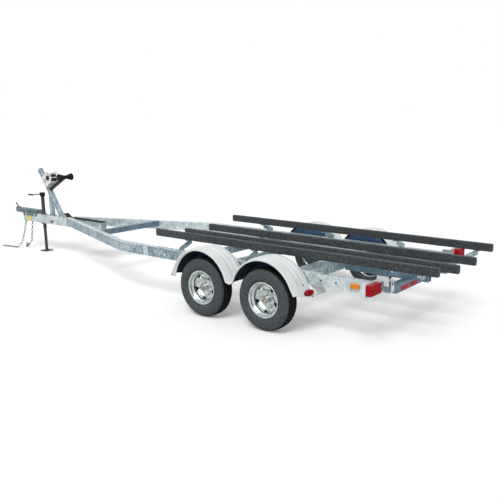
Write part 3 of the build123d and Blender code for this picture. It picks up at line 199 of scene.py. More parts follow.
# Bolts on both sides: their places along, across and up, the way they face on the left, and their size
OUT, UP, DOWN, BACK = (0, 1, 0), (0, 0, 1), (0, 0, -1), (-1, 0, 0)
POST_XS = (1.091, 0.056, -0.974)
CROSS_NODES = ("crossmember_middle", "crossmember_axle")
CROSS_XS = [middle(node).x - AXLE_X + dx for node in CROSS_NODES for dx in (-0.03, 0.03)]
AXLE_TUBE_XS = [end * WHEEL_X + dx for end in (1, -1) for dx in (0.088, 0.192)]
STAND_XS = (STRUT_X - 0.044, STRUT_X + 0.044, MAST_FOOT_X - 0.052, MAST_FOOT_X + 0.052)
FOOT_T = 0.008
BOLTS = {
    "cross-members": (CROSS_XS, (RAIL_HIGH.y,), (RAIL_MID_Z + 0.025,), OUT, 0.01),
    "bunk posts' feet": (POST_XS, (0.872, 0.902), (RAIL_HIGH.z + FOOT_T,), UP, 0.009),
    "bunk posts' heads": (POST_XS, (0.735,), (0.735,), DOWN, 0.009),
    "fenders' valleys": ((-0.02, 0.02), (0.94,), (0.46,), OUT, 0.007),
    "lamp plates": ((-1.642,), (0.905,), (0.56, 0.684), BACK, 0.008),
    "rear braces' feet": ((-1.586, -1.612), (0.78,), (RAIL_HIGH.z + FOOT_T,), UP, 0.008),
    "axle tubes": (AXLE_TUBE_XS, (0.868, 0.916), (RAIL_LOW.z - 0.01,), DOWN, 0.008),
    "fenders' ends": ((0.818, -0.818), (0.944,), (0.528,), OUT, 0.007),
    "coupler": ((COUPLER_X + 0.06, COUPLER_X + 0.3), (COUPLER_Y,), (TONGUE_HIGH.z - 0.022,), OUT, 0.012),
    "inner bunks": ((-1.45,), (0.262,), (0.61,), OUT, 0.01),
    "inner bunks' rear ends": ((-1.755,), (0.262,), (0.592,), OUT, 0.01),
    "rail's tie": ((1.297,), (RAIL_HIGH.y,), (0.565,), OUT, 0.017),
    "tongue's plate": ((SIGN_X - 0.045, SIGN_X + 0.045), (0.054,), (SIGN_Z,), OUT, 0.004),
    "winch stand": (STAND_XS, (0.038,), (TONGUE_HIGH.z + FOOT_T,), UP, 0.007),
}
MAST_BOLT_UPS, MAST_BOLT, JACK_BOLT = (0.3, 0.8), 0.009, 0.008

# Floor and light: levels for the light that falls on, and as seen
FLOOR_HALF, FLOOR_ROUGH = 400, 0.9
FLOOR_LEVELS, FLOOR_GLOW, WORLD_LEVELS = (0.6, 0.93), (0, 0.15), (0.55, 1)
SUN_ENERGY, SUN_ANGLE, SUN_FROM = 1.75, radians(28), Vector((-0.22, 0.58, 0.78))

# Camera, fitted to the photograph, whose frame is square
FRAME_PX = 500
CAMERA_AZ, CAMERA_EL, CAMERA_ROLL = radians(215.5763), radians(12.3845), radians(0.087)
CAMERA_DIST, CAMERA_F_PX, CAMERA_CX, CAMERA_CY = 7.8922, 643.9667, 295.4448, 260.1475
CAMERA_TARGET_Z, CAMERA_REACH, SENSOR = 0.5, 1000, 36


# Points and shares

def at(x, y, z):
    """A place given from the axles' middle, in the frame."""
    return Vector((AXLE_X + x, y, z))


def polar(r, turn, h=0):
    """The point at a radius, a turn and a height."""
    return Vector((r * cos(turn), r * sin(turn), h))


def turns_of(count, start=0):
    """Even turns round a circle, from a share of a step."""
    return [tau * (i + start) / count for i in range(count)]


def spaced(start, end, steps):
    """Even values from a start to an end, both included."""
    return [start + (end - start) * i / steps for i in range(steps + 1)]


def eased(t):
    """A share that starts and ends softly."""
    return t * t * (3 - 2 * t)


# Materials

LOOKS = {}
RAMP_ENDS, CELL_SHARE = (0.3, 0.7), 0.3
SOCKETS = {"metallic": "Metallic", "specular": "Specular IOR Level", "sheen": "Sheen Weight",
           "sheen_rough": "Sheen Roughness"}


def spread(tree, share, ends, socket):
    """Feeds a socket with what lies at a share between two ends."""
    between = tree.nodes.new("ShaderNodeMapRange")
    between.inputs["To Min"].default_value, between.inputs["To Max"].default_value = ends
    tree.links.new(share, between.inputs["Value"])
    tree.links.new(between.outputs["Result"], socket)


def mottled(name, dark, light, rough, scale, grain=None, cells=0, **plain):
    """A look whose colour and roughness drift between two ends, with a grain or crystal cells if asked."""
    material = bpy.data.materials.new(name)
    material.use_nodes = True
    tree = material.node_tree
    add, link = tree.nodes.new, tree.links.new
    shader = tree.nodes["Principled BSDF"]
    for socket, value in plain.items():
        shader.inputs[SOCKETS[socket]].default_value = value
    place = add("ShaderNodeTexCoord").outputs["Object"]

    def textured(kind, size, output):
        """A texture over the object's own coordinates."""
        texture = add(kind)
        texture.inputs["Scale"].default_value = size
        link(place, texture.inputs["Vector"])
        return texture.outputs[output]

    drift = textured("ShaderNodeTexNoise", scale, "Fac")
    if cells:
        split = add("ShaderNodeSeparateColor")
        link(textured("ShaderNodeTexVoronoi", cells, "Color"), split.inputs["Color"])
        blend = add("ShaderNodeMix")
        blend.inputs["Factor"].default_value = CELL_SHARE
        link(drift, blend.inputs["A"])
        link(split.outputs["Red"], blend.inputs["B"])
        drift = blend.outputs["Result"]
    ramp = add("ShaderNodeValToRGB")
    for element, position, colour in zip(ramp.color_ramp.elements, RAMP_ENDS, (dark, light)):
        element.position = position
        element.color = (*colour, 1)
    link(drift, ramp.inputs["Fac"])
    link(ramp.outputs["Color"], shader.inputs["Base Color"])
    spread(tree, drift, rough, shader.inputs["Roughness"])
    if grain:
        relief = add("ShaderNodeBump")
        relief.inputs["Distance"].default_value = grain[1]
        link(textured("ShaderNodeTexNoise", grain[0], "Fac"), relief.inputs["Height"])
        link(relief.outputs["Normal"], shader.inputs["Normal"])
    LOOKS[name] = material


ZINC_GRAIN, CARPET_GRAIN, RUBBER_GRAIN = (160, 0.0006), (500, 0.004), (420, 0.0006)
mottled("galvanised", (0.135, 0.215, 0.255), (0.48, 0.585, 0.63), (0.36, 0.58), 5, ZINC_GRAIN, cells=42,
        metallic=0.55)
# A lighter copy of galvanised, as painted light on the tongue, the rails, and their welds and pale band.
mottled("galvanised_painted_light", (0.36, 0.45, 0.475), (0.7, 0.785, 0.8), (0.36, 0.55), 6, ZINC_GRAIN, cells=42,
        metallic=0.5)
# A darker blue copy of galvanised, as painted shade on the bunk beams and the front and rear cross-members.
mottled("galvanised_painted_shade", (0.09, 0.16, 0.22), (0.2, 0.29, 0.36), (0.36, 0.55), 6, ZINC_GRAIN, cells=55,
        metallic=0.5)
mottled("fender_white", (0.63, 0.657, 0.662), (0.76, 0.787, 0.787), (0.36, 0.5), 5, (90, 0.0004))
# Pale rounded edges of rails, mast and strut: painted highlights.
mottled("galvanised_painted_highlight", (0.72, 0.78, 0.8), (0.86, 0.9, 0.91), (0.3, 0.45), 20, metallic=0.3)
# A brighter white for the fenders' aprons under the rails, as painted light against their shade.
mottled("apron_painted_light", (0.88, 0.9, 0.9), (0.95, 0.96, 0.96), (0.36, 0.5), 5)
# Dark blue for the fenders' inner walls: painted shade.
mottled("fender_shade", (0.024, 0.06, 0.13), (0.05, 0.098, 0.19), (0.5, 0.7), 6, specular=0.2)
# Dark fenders' undersides: painted shade.
mottled("fender_under_shade", (0.014, 0.02, 0.028), (0.035, 0.045, 0.058), (0.7, 0.9), 9, specular=0.15)
mottled("carpet", (0.016, 0.02, 0.023), (0.108, 0.122, 0.132), (0.95, 1), 95, CARPET_GRAIN, specular=0.1,
        sheen=0.35, sheen_rough=0.4)
mottled("pad_carpet", (0.022, 0.017, 0.014), (0.07, 0.056, 0.048), (0.95, 1), 130, CARPET_GRAIN, specular=0.1)
mottled("coupler_grey", (0.075, 0.125, 0.14), (0.175, 0.245, 0.265), (0.38, 0.58), 14, (200, 0.0004),
        metallic=0.4)
mottled("zinc", (0.58, 0.6, 0.59), (0.82, 0.84, 0.83), (0.28, 0.45), 18, (220, 0.0003), metallic=0.5)
mottled("bolt_zinc", (0.55, 0.57, 0.57), (0.8, 0.82, 0.82), (0.26, 0.42), 60, metallic=0.7)
mottled("strap", (0.008, 0.008, 0.016), (0.026, 0.026, 0.042), (0.8, 0.95), 160, (700, 0.002))
# Dark steel of the jack, also used as painted shade in the wheels' barrels and brake drums.
mottled("jack_steel_and_shade", (0.02, 0.03, 0.038), (0.06, 0.08, 0.092), (0.38, 0.58), 16, (180, 0.0004), metallic=0.3)
mottled("black_paint", (0.005, 0.005, 0.006), (0.012, 0.012, 0.014), (0.34, 0.5), 20, (240, 0.0003),
        specular=0.2)
mottled("black_rubber", (0.005, 0.005, 0.005), (0.013, 0.013, 0.013), (0.6, 0.8), 60, (500, 0.0006),
        specular=0.15)
mottled("tyre", (0.042, 0.048, 0.051), (0.08, 0.088, 0.094), (0.62, 0.82), 40, RUBBER_GRAIN, specular=0.3)
# A darker rubber on the tyres' crown: painted shade on the tread.
mottled("tread_shade", (0.008, 0.009, 0.01), (0.018, 0.019, 0.021), (0.8, 0.95), 40, RUBBER_GRAIN, specular=0.1)
mottled("wheel_steel", (0.34, 0.4, 0.4), (0.62, 0.67, 0.66), (0.2, 0.4), 18, (160, 0.0004), cells=60,
        metallic=0.85)
mottled("hub_steel", (0.36, 0.38, 0.37), (0.62, 0.64, 0.62), (0.2, 0.36), 30, metallic=0.9)
mottled("brass", (0.27, 0.17, 0.06), (0.45, 0.3, 0.12), (0.28, 0.45), 60, metallic=0.8)
mottled("red_lens", (0.27, 0.001, 0.006), (0.45, 0.003, 0.012), (0.12, 0.24), 30, specular=0.12)
mottled("amber_lens", (0.72, 0.2, 0.006), (0.88, 0.31, 0.012), (0.14, 0.26), 30, specular=0.25)
mottled("amber_dark", (0.2, 0.045, 0.008), (0.34, 0.085, 0.016), (0.16, 0.3), 30, specular=0.2)
mottled("yellow_plate", (0.8, 0.62, 0.04), (0.9, 0.75, 0.09), (0.4, 0.55), 25)
mottled("red_tape", (0.4, 0.003, 0.014), (0.58, 0.008, 0.026), (0.28, 0.42), 50, specular=0.1)
mottled("chain_steel", (0.13, 0.135, 0.125), (0.28, 0.285, 0.27), (0.38, 0.58), 30, metallic=0.5)
# Dark discs in holes: painted shade.
mottled("hole_shade", (0.006, 0.006, 0.007), (0.012, 0.012, 0.014), (0.8, 0.95), 60)


# Making meshes

def linked(name, data):
    """An object of some data, in the scene."""
    made = bpy.data.objects.new(name, data)
    bpy.context.scene.collection.objects.link(made)
    return made


def as_mesh(bm, name):
    """A bmesh's mesh. The bmesh itself goes."""
    mesh = bpy.data.meshes.new(name)
    bm.to_mesh(mesh)
    bm.free()
    return mesh


def baked(made):
    """An object's mesh with its modifiers done. The object itself goes."""
    bpy.context.view_layer.update()
    mesh = bpy.data.meshes.new_from_object(made.evaluated_get(bpy.context.evaluated_depsgraph_get()))
    bpy.data.objects.remove(made)
    return mesh


def piece(name, bm, looks, replaces=(), body="frame", sharp=SHARP, outward=True):
    """A bmesh as a piece that rides on a body, its looks in the order of its face indices."""
    bmesh.ops.remove_doubles(bm, verts=bm.verts, dist=MERGE)
    if outward:
        bmesh.ops.recalc_face_normals(bm, faces=bm.faces)
    mesh = as_mesh(bm, name)
    for look in looks:
        mesh.materials.append(LOOKS[look])
    mesh.polygons.foreach_set("use_smooth", [True] * len(mesh.polygons))
    mesh.set_sharp_from_angle(angle=radians(sharp))
    made = linked(name, mesh)
    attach(made, body)
    if replaces:
        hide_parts(*replaces)
    return made


def thicken(made, under=0):
    """Gives a fender's sheet its thickness, on the side away from its faces."""
    sheet = made.modifiers.new("sheet", "SOLIDIFY")
    sheet.thickness = SKIN
    sheet.offset = -1
    sheet.material_offset = under
    sheet.material_offset_rim = 0


def mirror_y(bm, sign):
    """Moves a left-hand shape to a side of the trailer."""
    for vert in bm.verts:
        vert.co.y *= sign


def place_on(origin, axis):
    """A frame at a point, with its Z along an axis."""
    turn = Vector(UP).rotation_difference(Vector(axis)).to_matrix().to_4x4()
    return Matrix.Translation(origin) @ turn


def grid(bm, rows, wrap_rows=False, wrap_columns=False, capped=False, index=0):
    """Joins rows of points into quads, may cap both ends, and returns the vertices."""
    verts = [[bm.verts.new(point) for point in row] for row in rows]
    for i in range(len(rows) if wrap_rows else len(rows) - 1):
        here, there = verts[i], verts[(i + 1) % len(rows)]
        for j in range(len(here) if wrap_columns else len(here) - 1):
            k = (j + 1) % len(here)
            bm.faces.new((here[j], here[k], there[k], there[j])).material_index = index
    if capped:
        for ring in (verts[0], verts[-1]):
            bm.faces.new(ring).material_index = index
    return verts


def lathe(bm, shape, place, index=0, closed=False):
    """Turns a shape, its steps round and its pairs of radius and height, about a frame's Z."""
    count, profile = shape
    rows = [[place @ polar(r, turn, h) for r, h in profile] for turn in turns_of(count)]
    grid(bm, rows, wrap_rows=True, wrap_columns=closed, index=index)


def sweep(bm, points, radius, around=BAR_TURNS, closed=False):
    """A round bar along a run of points."""
    count = len(points)
    rows = []
    normal = None
    for i, point in enumerate(points):
        before = points[i - 1] if i or closed else point
        after = points[(i + 1) % count] if i < count - 1 or closed else point
        run = (after - before).normalized()
        normal = run.orthogonal() if normal is None else normal - run * normal.dot(run)
        normal.normalize()
        across = run.cross(normal)
        rows.append([point + (normal * cos(t) + across * sin(t)) * radius for t in turns_of(around)])
    grid(bm, rows, wrap_rows=closed, wrap_columns=True, capped=not closed)


def box(bm, low, high, place=Matrix(), round_by=FINE_EDGE):
    """A box between two corners of a frame, with its edges rounded."""
    low, high = Vector(low), Vector(high)
    made = bmesh.ops.create_cube(bm, size=1.0)["verts"]
    for vert in made:
        vert.co = place @ Vector([low[k] + (vert.co[k] + 0.5) * (high[k] - low[k]) for k in range(3)])
    if round_by:
        edges = list({edge for vert in made for edge in vert.link_edges})
        bmesh.ops.bevel(bm, geom=edges, offset=round_by, segments=EDGE_SEGMENTS, profile=0.5, affect="EDGES",
                        material=-1)


def bolt(bm, place, size):
    """A hexagon head on its washer, standing along a frame's Z."""
    for count, profile in (WASHER, HEAD):
        lathe(bm, (count, [(r * size, h * size) for r, h in profile]), place)


def softened(node, look, width, other_look=None, takes_other=None, split_x=None, edge_highlight_look=None):
    """A copy of a node with rounded edges, in its place. Another look may go on some faces, and a painted
    highlight on the rounded edges.
    """
    bm = bmesh.new()
    bm.from_mesh(frame["nodes"][node].data)
    bmesh.ops.remove_doubles(bm, verts=bm.verts, dist=CAD_MERGE)
    bmesh.ops.dissolve_limit(bm, angle_limit=radians(FLAT), verts=bm.verts, edges=bm.edges)
    if split_x is not None:
        whole = [*bm.verts, *bm.edges, *bm.faces]
        bmesh.ops.bisect_plane(bm, geom=whole, plane_co=(split_x, 0, 0), plane_no=(1, 0, 0))
    if takes_other:
        bm.normal_update()
        for face in bm.faces:
            face.material_index = int(takes_other(face))
    looks = [kind for kind in (look, other_look, edge_highlight_look) if kind]
    made = piece(f"{node}_finished", bm, looks, [node], BODY_OF[node])
    bevel = made.modifiers.new("edges", "BEVEL")
    bevel.width = width
    bevel.segments = EDGE_SEGMENTS
    bevel.limit_method = "ANGLE"
    bevel.angle_limit = radians(SHARP)
    bevel.harden_normals = True
    # The rounded edges take the last look, a painted highlight.
    if edge_highlight_look:
        bevel.material = len(looks) - 1


# Tyres, wheels and hubs

def wheel_place(where):
    """A wheel's frame, with Z outboard along its axle."""
    return place_on(middle(f"tyre_{where}"), (0, WHEELS[where], 0))


def tyre_section():
    """A tyre's outline from bead to bead: radius, height, and whether slots and the zigzag reach there."""
    side = [(BEAD_R, BEAD_H, 0, 0)]
    for t in spaced(-pi / 2, pi / 2, WALL_STEPS):
        r, h = WALL_MID_R + WALL_R * sin(t), WALL_MID_H + WALL_H * cos(t)
        h += sum(rise * exp(-((r - ring) / wide) ** 2) for ring, wide, rise in WALL_RINGS)
        side.append((r, h, 0, 0))
    side.append((SHOULDER_R, SHOULDER_H, 1, 0))

    def crown(h):
        return TYRE_R - TREAD_FALL * (h / TREAD_HALF) ** 2

    top = [(crown(TREAD_HALF), TREAD_HALF, 1, 0)]
    lip, floor = (GROOVE_HALF, 0), (GROOVE_FLOOR_HALF, GROOVE_D)
    for groove in GROOVES:
        for sign, (half, depth) in ((1, lip), (1, floor), (-1, floor), (-1, lip)):
            h = groove + sign * half
            top.append((crown(h) - depth, h, 0, 1))
    top.append((crown(-TREAD_HALF), -TREAD_HALF, 1, 0))
    return side + top + [(r, -h, slot, zig) for r, h, slot, zig in reversed(side)]


def tyre(where):
    """A road tyre with ringed walls, zigzag grooves and slotted shoulders, its crown darker as painted shade.
    """
    place = wheel_place(where)
    section = tyre_section()
    rows = []
    for i, turn in enumerate(turns_of(TYRE_TURNS)):
        cut = SLOT_D if i % SLOT_EVERY < SLOT_LONG else 0
        swing = ZIGZAG * (abs(i % ZIGZAG_TURNS - ZIGZAG_TURNS / 2) / (ZIGZAG_TURNS / 4) - 1)
        rows.append([place @ polar(r - cut * slot, turn, h + swing * zig) for r, h, slot, zig in section])
    bm = bmesh.new()
    grid(bm, rows, wrap_rows=True, wrap_columns=True)
    hub_axis = place.inverted()
    # The crown takes the darker tread look as painted shade.
    for face in bm.faces:
        if (hub_axis @ face.calc_center_median()).xy.length > TYRE_R - TREAD_SHADE_DEPTH:
            face.material_index = 1
    piece(f"tyre_{where}_tread", bm, ["tyre", "tread_shade"], [f"tyre_{where}"], f"wheel_{where}",
          sharp=TREAD_SHARP)


def disc_height(r, turn):
    """The disc's height over its middle plane: a flat seat, a crown and panels falling between spokes."""
    if r < DISC_FLAT_R:
        base = 0
    elif r < DISC_CROWN_R:
        base = DISC_CROWN_H * eased((r - DISC_FLAT_R) / (DISC_CROWN_R - DISC_FLAT_R))
    else:
        t = (r - DISC_CROWN_R) / (DISC_OUT_R - DISC_CROWN_R)
        base = DISC_CROWN_H + (DISC_EDGE_H - DISC_CROWN_H) * t * t
    reach = max(0, sin(pi * (r - DISC_FLAT_R) / (DISC_OUT_R - DISC_FLAT_R)))
    between = (0.5 + 0.5 * cos(WINDOWS * turn)) ** PANEL_POWER
    return base - PANEL_FALL * reach * between


def rounded_outline(corners, radius):
    """A flat closed outline with round corners."""
    points = []
    for i, corner in enumerate(corners):
        corner = Vector(corner)
        to_last = (Vector(corners[i - 1]) - corner).normalized()
        to_next = (Vector(corners[(i + 1) % len(corners)]) - corner).normalized()
        reach = radius / tan(to_last.angle(to_next) / 2)
        start, end = corner + to_last * reach, corner + to_next * reach
        for t in spaced(0, 1, CORNER_STEPS):
            points.append(start * (1 - t) ** 2 + corner * 2 * t * (1 - t) + end * t ** 2)
    return points


def disc_mesh():
    """The pressed disc with its five windows, about its own Z."""
    bm = bmesh.new()
    radii = spaced(DISC_IN_R, DISC_OUT_R, DISC_RINGS)
    rows = []
    for t in turns_of(DISC_TURNS):
        face = [polar(r, t, disc_height(r, t) + DISC_T) for r in radii]
        rows.append(face + [polar(r, t, disc_height(r, t)) for r in reversed(radii)])
    grid(bm, rows, wrap_rows=True, wrap_columns=True)
    cutter = bmesh.new()
    corners = [(WINDOW_TIP_R, 0), (WINDOW_BASE_R, WINDOW_HALF), (WINDOW_BASE_R, -WINDOW_HALF)]
    outline = rounded_outline(corners, WINDOW_ROUND)
    for t in turns_of(WINDOWS):
        turn = Matrix.Rotation(t, 3, "Z")
        rows = [[turn @ Vector((*point, h)) for point in outline] for h in WINDOW_CUT]
        grid(cutter, rows, wrap_columns=True, capped=True)
    for shape in (bm, cutter):
        bmesh.ops.recalc_face_normals(shape, faces=shape.faces)
    whole, holes = linked("disc", as_mesh(bm, "disc")), linked("windows", as_mesh(cutter, "windows"))
    cut = whole.modifiers.new("windows", "BOOLEAN")
    cut.operation = "DIFFERENCE"
    cut.object = holes
    made = baked(whole)
    bpy.data.objects.remove(holes)
    return made


def rim(where, disc):
    """A deep-dished pressed wheel: a barrel with rolled flanges, in painted shade close behind the disc, and
    the five-spoke disc.
    """
    place = wheel_place(where)
    bm = bmesh.new()
    inner_side = [(r, -h) for half in (RIM_TYRE_SIDE, RIM_AIR_SIDE) for r, h in reversed(half)]
    lathe(bm, (RIM_TURNS, [*RIM_TYRE_SIDE, *inner_side, *RIM_AIR_SIDE]), place, closed=True)
    pressed = disc.copy()
    pressed.transform(place @ Matrix.Rotation(WINDOW_TURN, 4, "Z"))
    bm.from_mesh(pressed)
    bpy.data.meshes.remove(pressed)
    # Barrel faces close behind the disc take the dark steel as painted shade, so the windows look dark.
    hub_axis = place.inverted()
    for face in bm.faces:
        spot = hub_axis @ face.calc_center_median()
        face.material_index = int(abs(spot.z) < RIM_SHADE_H and spot.xy.length > RIM_SHADE_R)
    looks = ["wheel_steel", "jack_steel_and_shade"]
    piece(f"rim_{where}_pressed", bm, looks, [f"rim_{where}"], f"wheel_{where}")


def hub(where):
    """Drum in painted shade, hub, wheel nuts and a bright cap with a brass-coloured middle."""
    place = wheel_place(where)
    bm = bmesh.new()
    # The drum, index 2, takes the dark steel as painted shade behind the windows.
    for shape, index in ((DRUM, 2), (HUB_CAP, 0), (HUB_PLUG, 1)):
        lathe(bm, shape, place, index)
    for turn in turns_of(WINDOWS, 0.5):
        seat = place @ Matrix.Translation(polar(NUT_R, turn + WINDOW_TURN, DISC_T))
        bolt(bm, seat, NUT_SIZE)
        lathe(bm, STUD, seat)
    looks = ["hub_steel", "brass", "jack_steel_and_shade"]
    piece(f"hub_{where}_capped", bm, looks, [f"hub_{where}"], f"wheel_{where}")


# Fenders

def slope_x(z):
    """How far a fender's end slope is from the axles' middle, at a height."""
    return FOOT_X - LEAN * (z - FOOT_Z)


def fender_stations():
    """Places along half a fender, from valley to foot: what sort, how far, the ribs' share."""
    valley, end = asin((VALLEY_Z - ARCH_Z) / ARCH_R), asin((SLOPE_Z - ARCH_Z) / ARCH_R)
    stations = [("valley", 0, 1)]
    stations += [("arch", turn, 1) for turn in spaced(pi - valley, end, ARCH_STEPS)]
    for i in range(1, SLOPE_STEPS + 1):
        stations.append(("slope", i / SLOPE_STEPS, eased(max(0, 1 - i / FADE_STEPS))))
    return stations


def fender_section():
    """Across a fender: distance from the trailer's middle, height over the skin, and if it is a rib."""
    points = [(FENDER_IN, -FLANGE, 0), (FENDER_IN, -FLANGE_ROUND, 0),
              (FENDER_IN + FLANGE_SOFT, -FLANGE_SOFT, 0), (FENDER_IN + FLANGE_ROUND, 0, 0)]
    for i in range(RIBS):
        centre = FENDER_IN + (FENDER_OUT - FENDER_IN) * (i + 1) / (RIBS + 1) - RIB_SHIFT
        for t in spaced(-1, 1, RIB_STEPS):
            points.append((centre + RIB_HALF * t, RIB_H * cos(pi * t / 2) ** 2, 1))
    points += [(FENDER_OUT - EDGE_BEAD + run, -EDGE_STEP * fall, 0) for run, fall in EDGE_FALL]
    for t in spaced(0, pi / 2, EDGE_STEPS):
        points.append((FENDER_OUT - EDGE_ROUND * (1 - sin(t)), -EDGE_STEP - EDGE_ROUND * (1 - cos(t)), 0))
    return points + [(FENDER_OUT - inward, rise - SKIRT, 0) for inward, rise in HEM]


def fender_point(station, end, y, over):
    """A point of the fender over a station of its front or rear half."""
    kind, place, _ = station
    if kind == "valley":
        x, z, normal = 0, VALLEY_Z, (0, 1)
    elif kind == "arch":
        normal = (cos(place), sin(place))
        x, z = WHEEL_X + ARCH_R * normal[0], ARCH_Z + ARCH_R * normal[1]
    else:
        share = min(max((y - FENDER_IN) / (FENDER_OUT - FENDER_IN), 0), 1)
        z = SLOPE_Z + (FOOT_Z + FOOT_RISE * share - SLOPE_Z) * place
        x, normal = slope_x(z), SLOPE_NORMAL
    return at(end * (x + normal[0] * over), y, z + normal[1] * over)


def toe_rows():
    """The skirt at a fender's front foot: its edges on the wheel opening and the skin, going up."""
    rows = []
    for z in spaced(TOE_LOW, ARCH_Z + TOE_TOP, TOE_STEPS)[:-1]:
        opening = WHEEL_X + TOE_HALF * sqrt(1 - ((z - ARCH_Z) / TOE_TOP) ** 2)
        skin = slope_x(z)
        if z > SLOPE_Z:
            skin = WHEEL_X + sqrt(ARCH_R ** 2 - (z - ARCH_Z) ** 2)
        rows.append([at(x, FENDER_OUT - TOE_INSET, z) for x in (opening, skin - TOE_INSET)])
    return rows


def fender(side):
    """A fender as a pressed sheet with painted shade beneath, its walls in painted shade, aprons in painted
    light, and its front toe.
    """
    bm = bmesh.new()
    section, stations = fender_section(), fender_stations()
    halves = [(-1, station) for station in reversed(stations)] + [(1, station) for station in stations[1:]]
    rows = []
    for end, station in halves:
        rows.append([fender_point(station, end, y, over * station[2] if rib else over)
                     for y, over, rib in section])
    grid(bm, rows)
    mirror_y(bm, SIDES[side])
    bm.normal_update()
    if max(bm.faces, key=lambda face: face.calc_center_median().z).normal.z < 0:
        bmesh.ops.reverse_faces(bm, faces=bm.faces)
    skin = piece(f"fender_{side}_pressed", bm, ["fender_white", "fender_under_shade"],
                 [f"fender_{side}"], sharp=SKIN_SHARP, outward=False)
    # The sheet's underside takes the dark look as painted shade.
    thicken(skin, under=1)

    bm = bmesh.new()
    for end in (-1, 1):
        apron = [(slope_x(z), z) for z in spaced(FOOT_Z, RAIL_LOW.z, APRON_STEPS)]
        # The aprons, index 2, take the brighter white as painted light.
        grid(bm, [[at(end * x, y, z) for y in (APRON_IN, APRON_OUT)] for x, z in apron], index=2)
        # The walls, index 1, take the dark blue as painted shade.
        rows = []
        for kind, turn, _ in stations:
            x, z = WHEEL_X + ARCH_R * cos(turn), ARCH_Z + ARCH_R * sin(turn)
            if kind == "arch" and z > SLOPE_Z - MERGE:
                rows.append([at(end * x, FENDER_IN + SKIN, height) for height in (SLOPE_Z, z - SKIN)])
        grid(bm, rows, index=1)
    grid(bm, toe_rows())
    mirror_y(bm, SIDES[side])
    looks = ["fender_white", "fender_shade", "apron_painted_light"]
    thicken(piece(f"fender_{side}_walls", bm, looks))


# Carpeted pieces

def carpet_ring(x, y, z, half_w, half_h, radius, seed):
    """One wavy cross-section of a carpeted board."""
    ring = []
    for quarter, (side_y, side_z) in enumerate(((1, 1), (-1, 1), (-1, -1), (1, -1))):
        for t in spaced(pi / 2 * quarter, pi / 2 * (quarter + 1), CORNER_STEPS):
            ring.append(Vector((x, y + side_y * (half_w - radius) + radius * cos(t),
                                z + side_z * (half_h - radius) + radius * sin(t))))
    for point in ring:
        spot = Vector((point.x * SWELL_ALONG, point.y * SWELL_ACROSS + seed, point.z * SWELL_ACROSS))
        swell = SWELL * noise.noise(spot)
        point.y += swell
        point.z += swell
    return ring


def carpeted(node, look, stations, radius, seed):
    """A board in carpet, by its sections: the middle's place and the half sizes."""
    bm = bmesh.new()
    grid(bm, [carpet_ring(*station, radius, seed) for station in stations], wrap_columns=True, capped=True)
    piece(f"{node}_carpeted", bm, [look], [node], sharp=SOFT_SHARP)


def bunk(node, seed):
    """A bunk's board, its ends folded round."""
    low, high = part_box(node)
    (_, y, z), half = (low + high) / 2, (high - low) / 2
    runs = [(low.x + run, inset) for run, inset in BUNK_ENDS]
    runs += [(x, BUNK_INSET) for x in spaced(low.x + BUNK_FOLD, high.x - BUNK_FOLD, BUNK_STEPS)]
    runs += [(high.x - run, inset) for run, inset in reversed(BUNK_ENDS)]
    stations = [(x, y, z, half.y - inset, half.z - inset) for x, inset in runs]
    carpeted(node, "carpet", stations, BUNK_ROUND, seed)


def tongue_pad():
    """The carpeted strip on the tongue, its front end turned up against the mast."""
    low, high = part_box("tongue_pad")
    stations = []
    for x in spaced(low.x, high.x, PAD_STEPS):
        lift = eased(min(max((x - high.x + PAD_RAMP) / PAD_RAMP, 0), 1))
        z = low.z + PAD_T / 2 + (high.z - low.z - PAD_T) * lift
        stations.append((x, 0, z, high.y - PAD_INSET, PAD_T / 2))
    carpeted("tongue_pad", "pad_carpet", stations, PAD_ROUND, PAD_SEED)


# Lamps and tape

def tail_lenses():
    """The two red tail lamps: a fluted rear face, a plain side facet and a rim."""
    low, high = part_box("tail_lights")
    out_y, in_y, mid_y = high.y, high.y - LENS_W, high.y - LENS_W / 2
    columns = [(high.x, in_y)] + [(low.x + x, in_y + y) for x, y in LENS_START]
    for i, y in enumerate(spaced(in_y + FLUTE_IN, out_y - FLUTE_OUT, FLUTES * FLUTE_STEPS)):
        columns.append((low.x + FLUTE_X - FLUTE_D * abs(sin(pi * i / FLUTE_STEPS)), y))
    for t in spaced(0, pi / 2, LENS_ROUND_STEPS):
        columns.append((low.x + LENS_ROUND - LENS_ROUND_X * cos(t), out_y - LENS_ROUND * (1 - sin(t))))
    columns += [(high.x - x, out_y - y) for x, y in LENS_END]
    heights = [(low.z + rise, inset) for rise, inset in LENS_EDGE]
    heights += [(middle("tail_lights").z + rise, inset) for rise, inset in LENS_CREASE]
    heights += [(high.z - rise, inset) for rise, inset in reversed(LENS_EDGE)]
    bm = bmesh.new()
    for sign in SIDES.values():
        rows = []
        for z, inset in heights:
            ys = [mid_y + (y - mid_y) * (1 - 2 * inset / LENS_W) for _, y in columns]
            rows.append([(min(x + inset, high.x), sign * y, z) for (x, _), y in zip(columns, ys)])
        verts = grid(bm, rows, capped=True)
        bm.faces.new([row[0] for row in verts] + [row[-1] for row in reversed(verts)])
    piece("tail_lights_fluted", bm, ["red_lens"], ["tail_lights"], sharp=MOULDED_SHARP)


def tape():
    """Red reflective strips along the rear cross-member's dropped middle."""
    bm = bmesh.new()
    for y in TAPE_YS:
        box(bm, (REAR_LOW.x - TAPE_PROUD, y, REAR_LOW.z + TAPE_LOW),
            (REAR_LOW.x + TAPE_SUNK, y + TAPE_L, REAR_LOW.z + TAPE_HIGH), round_by=0)
    piece("reflective_tape", bm, ["red_tape"])


# Winch stand

def mast_place(up=0, out=0):
    """A frame on the mast's middle line: X square to the mast, Z up along it."""
    foot = at(MAST_FOOT_X, 0, TONGUE_HIGH.z)
    return Matrix.Translation(foot) @ Matrix.Rotation(MAST_LEAN, 4, "Y") @ Matrix.Translation((out, 0, up))


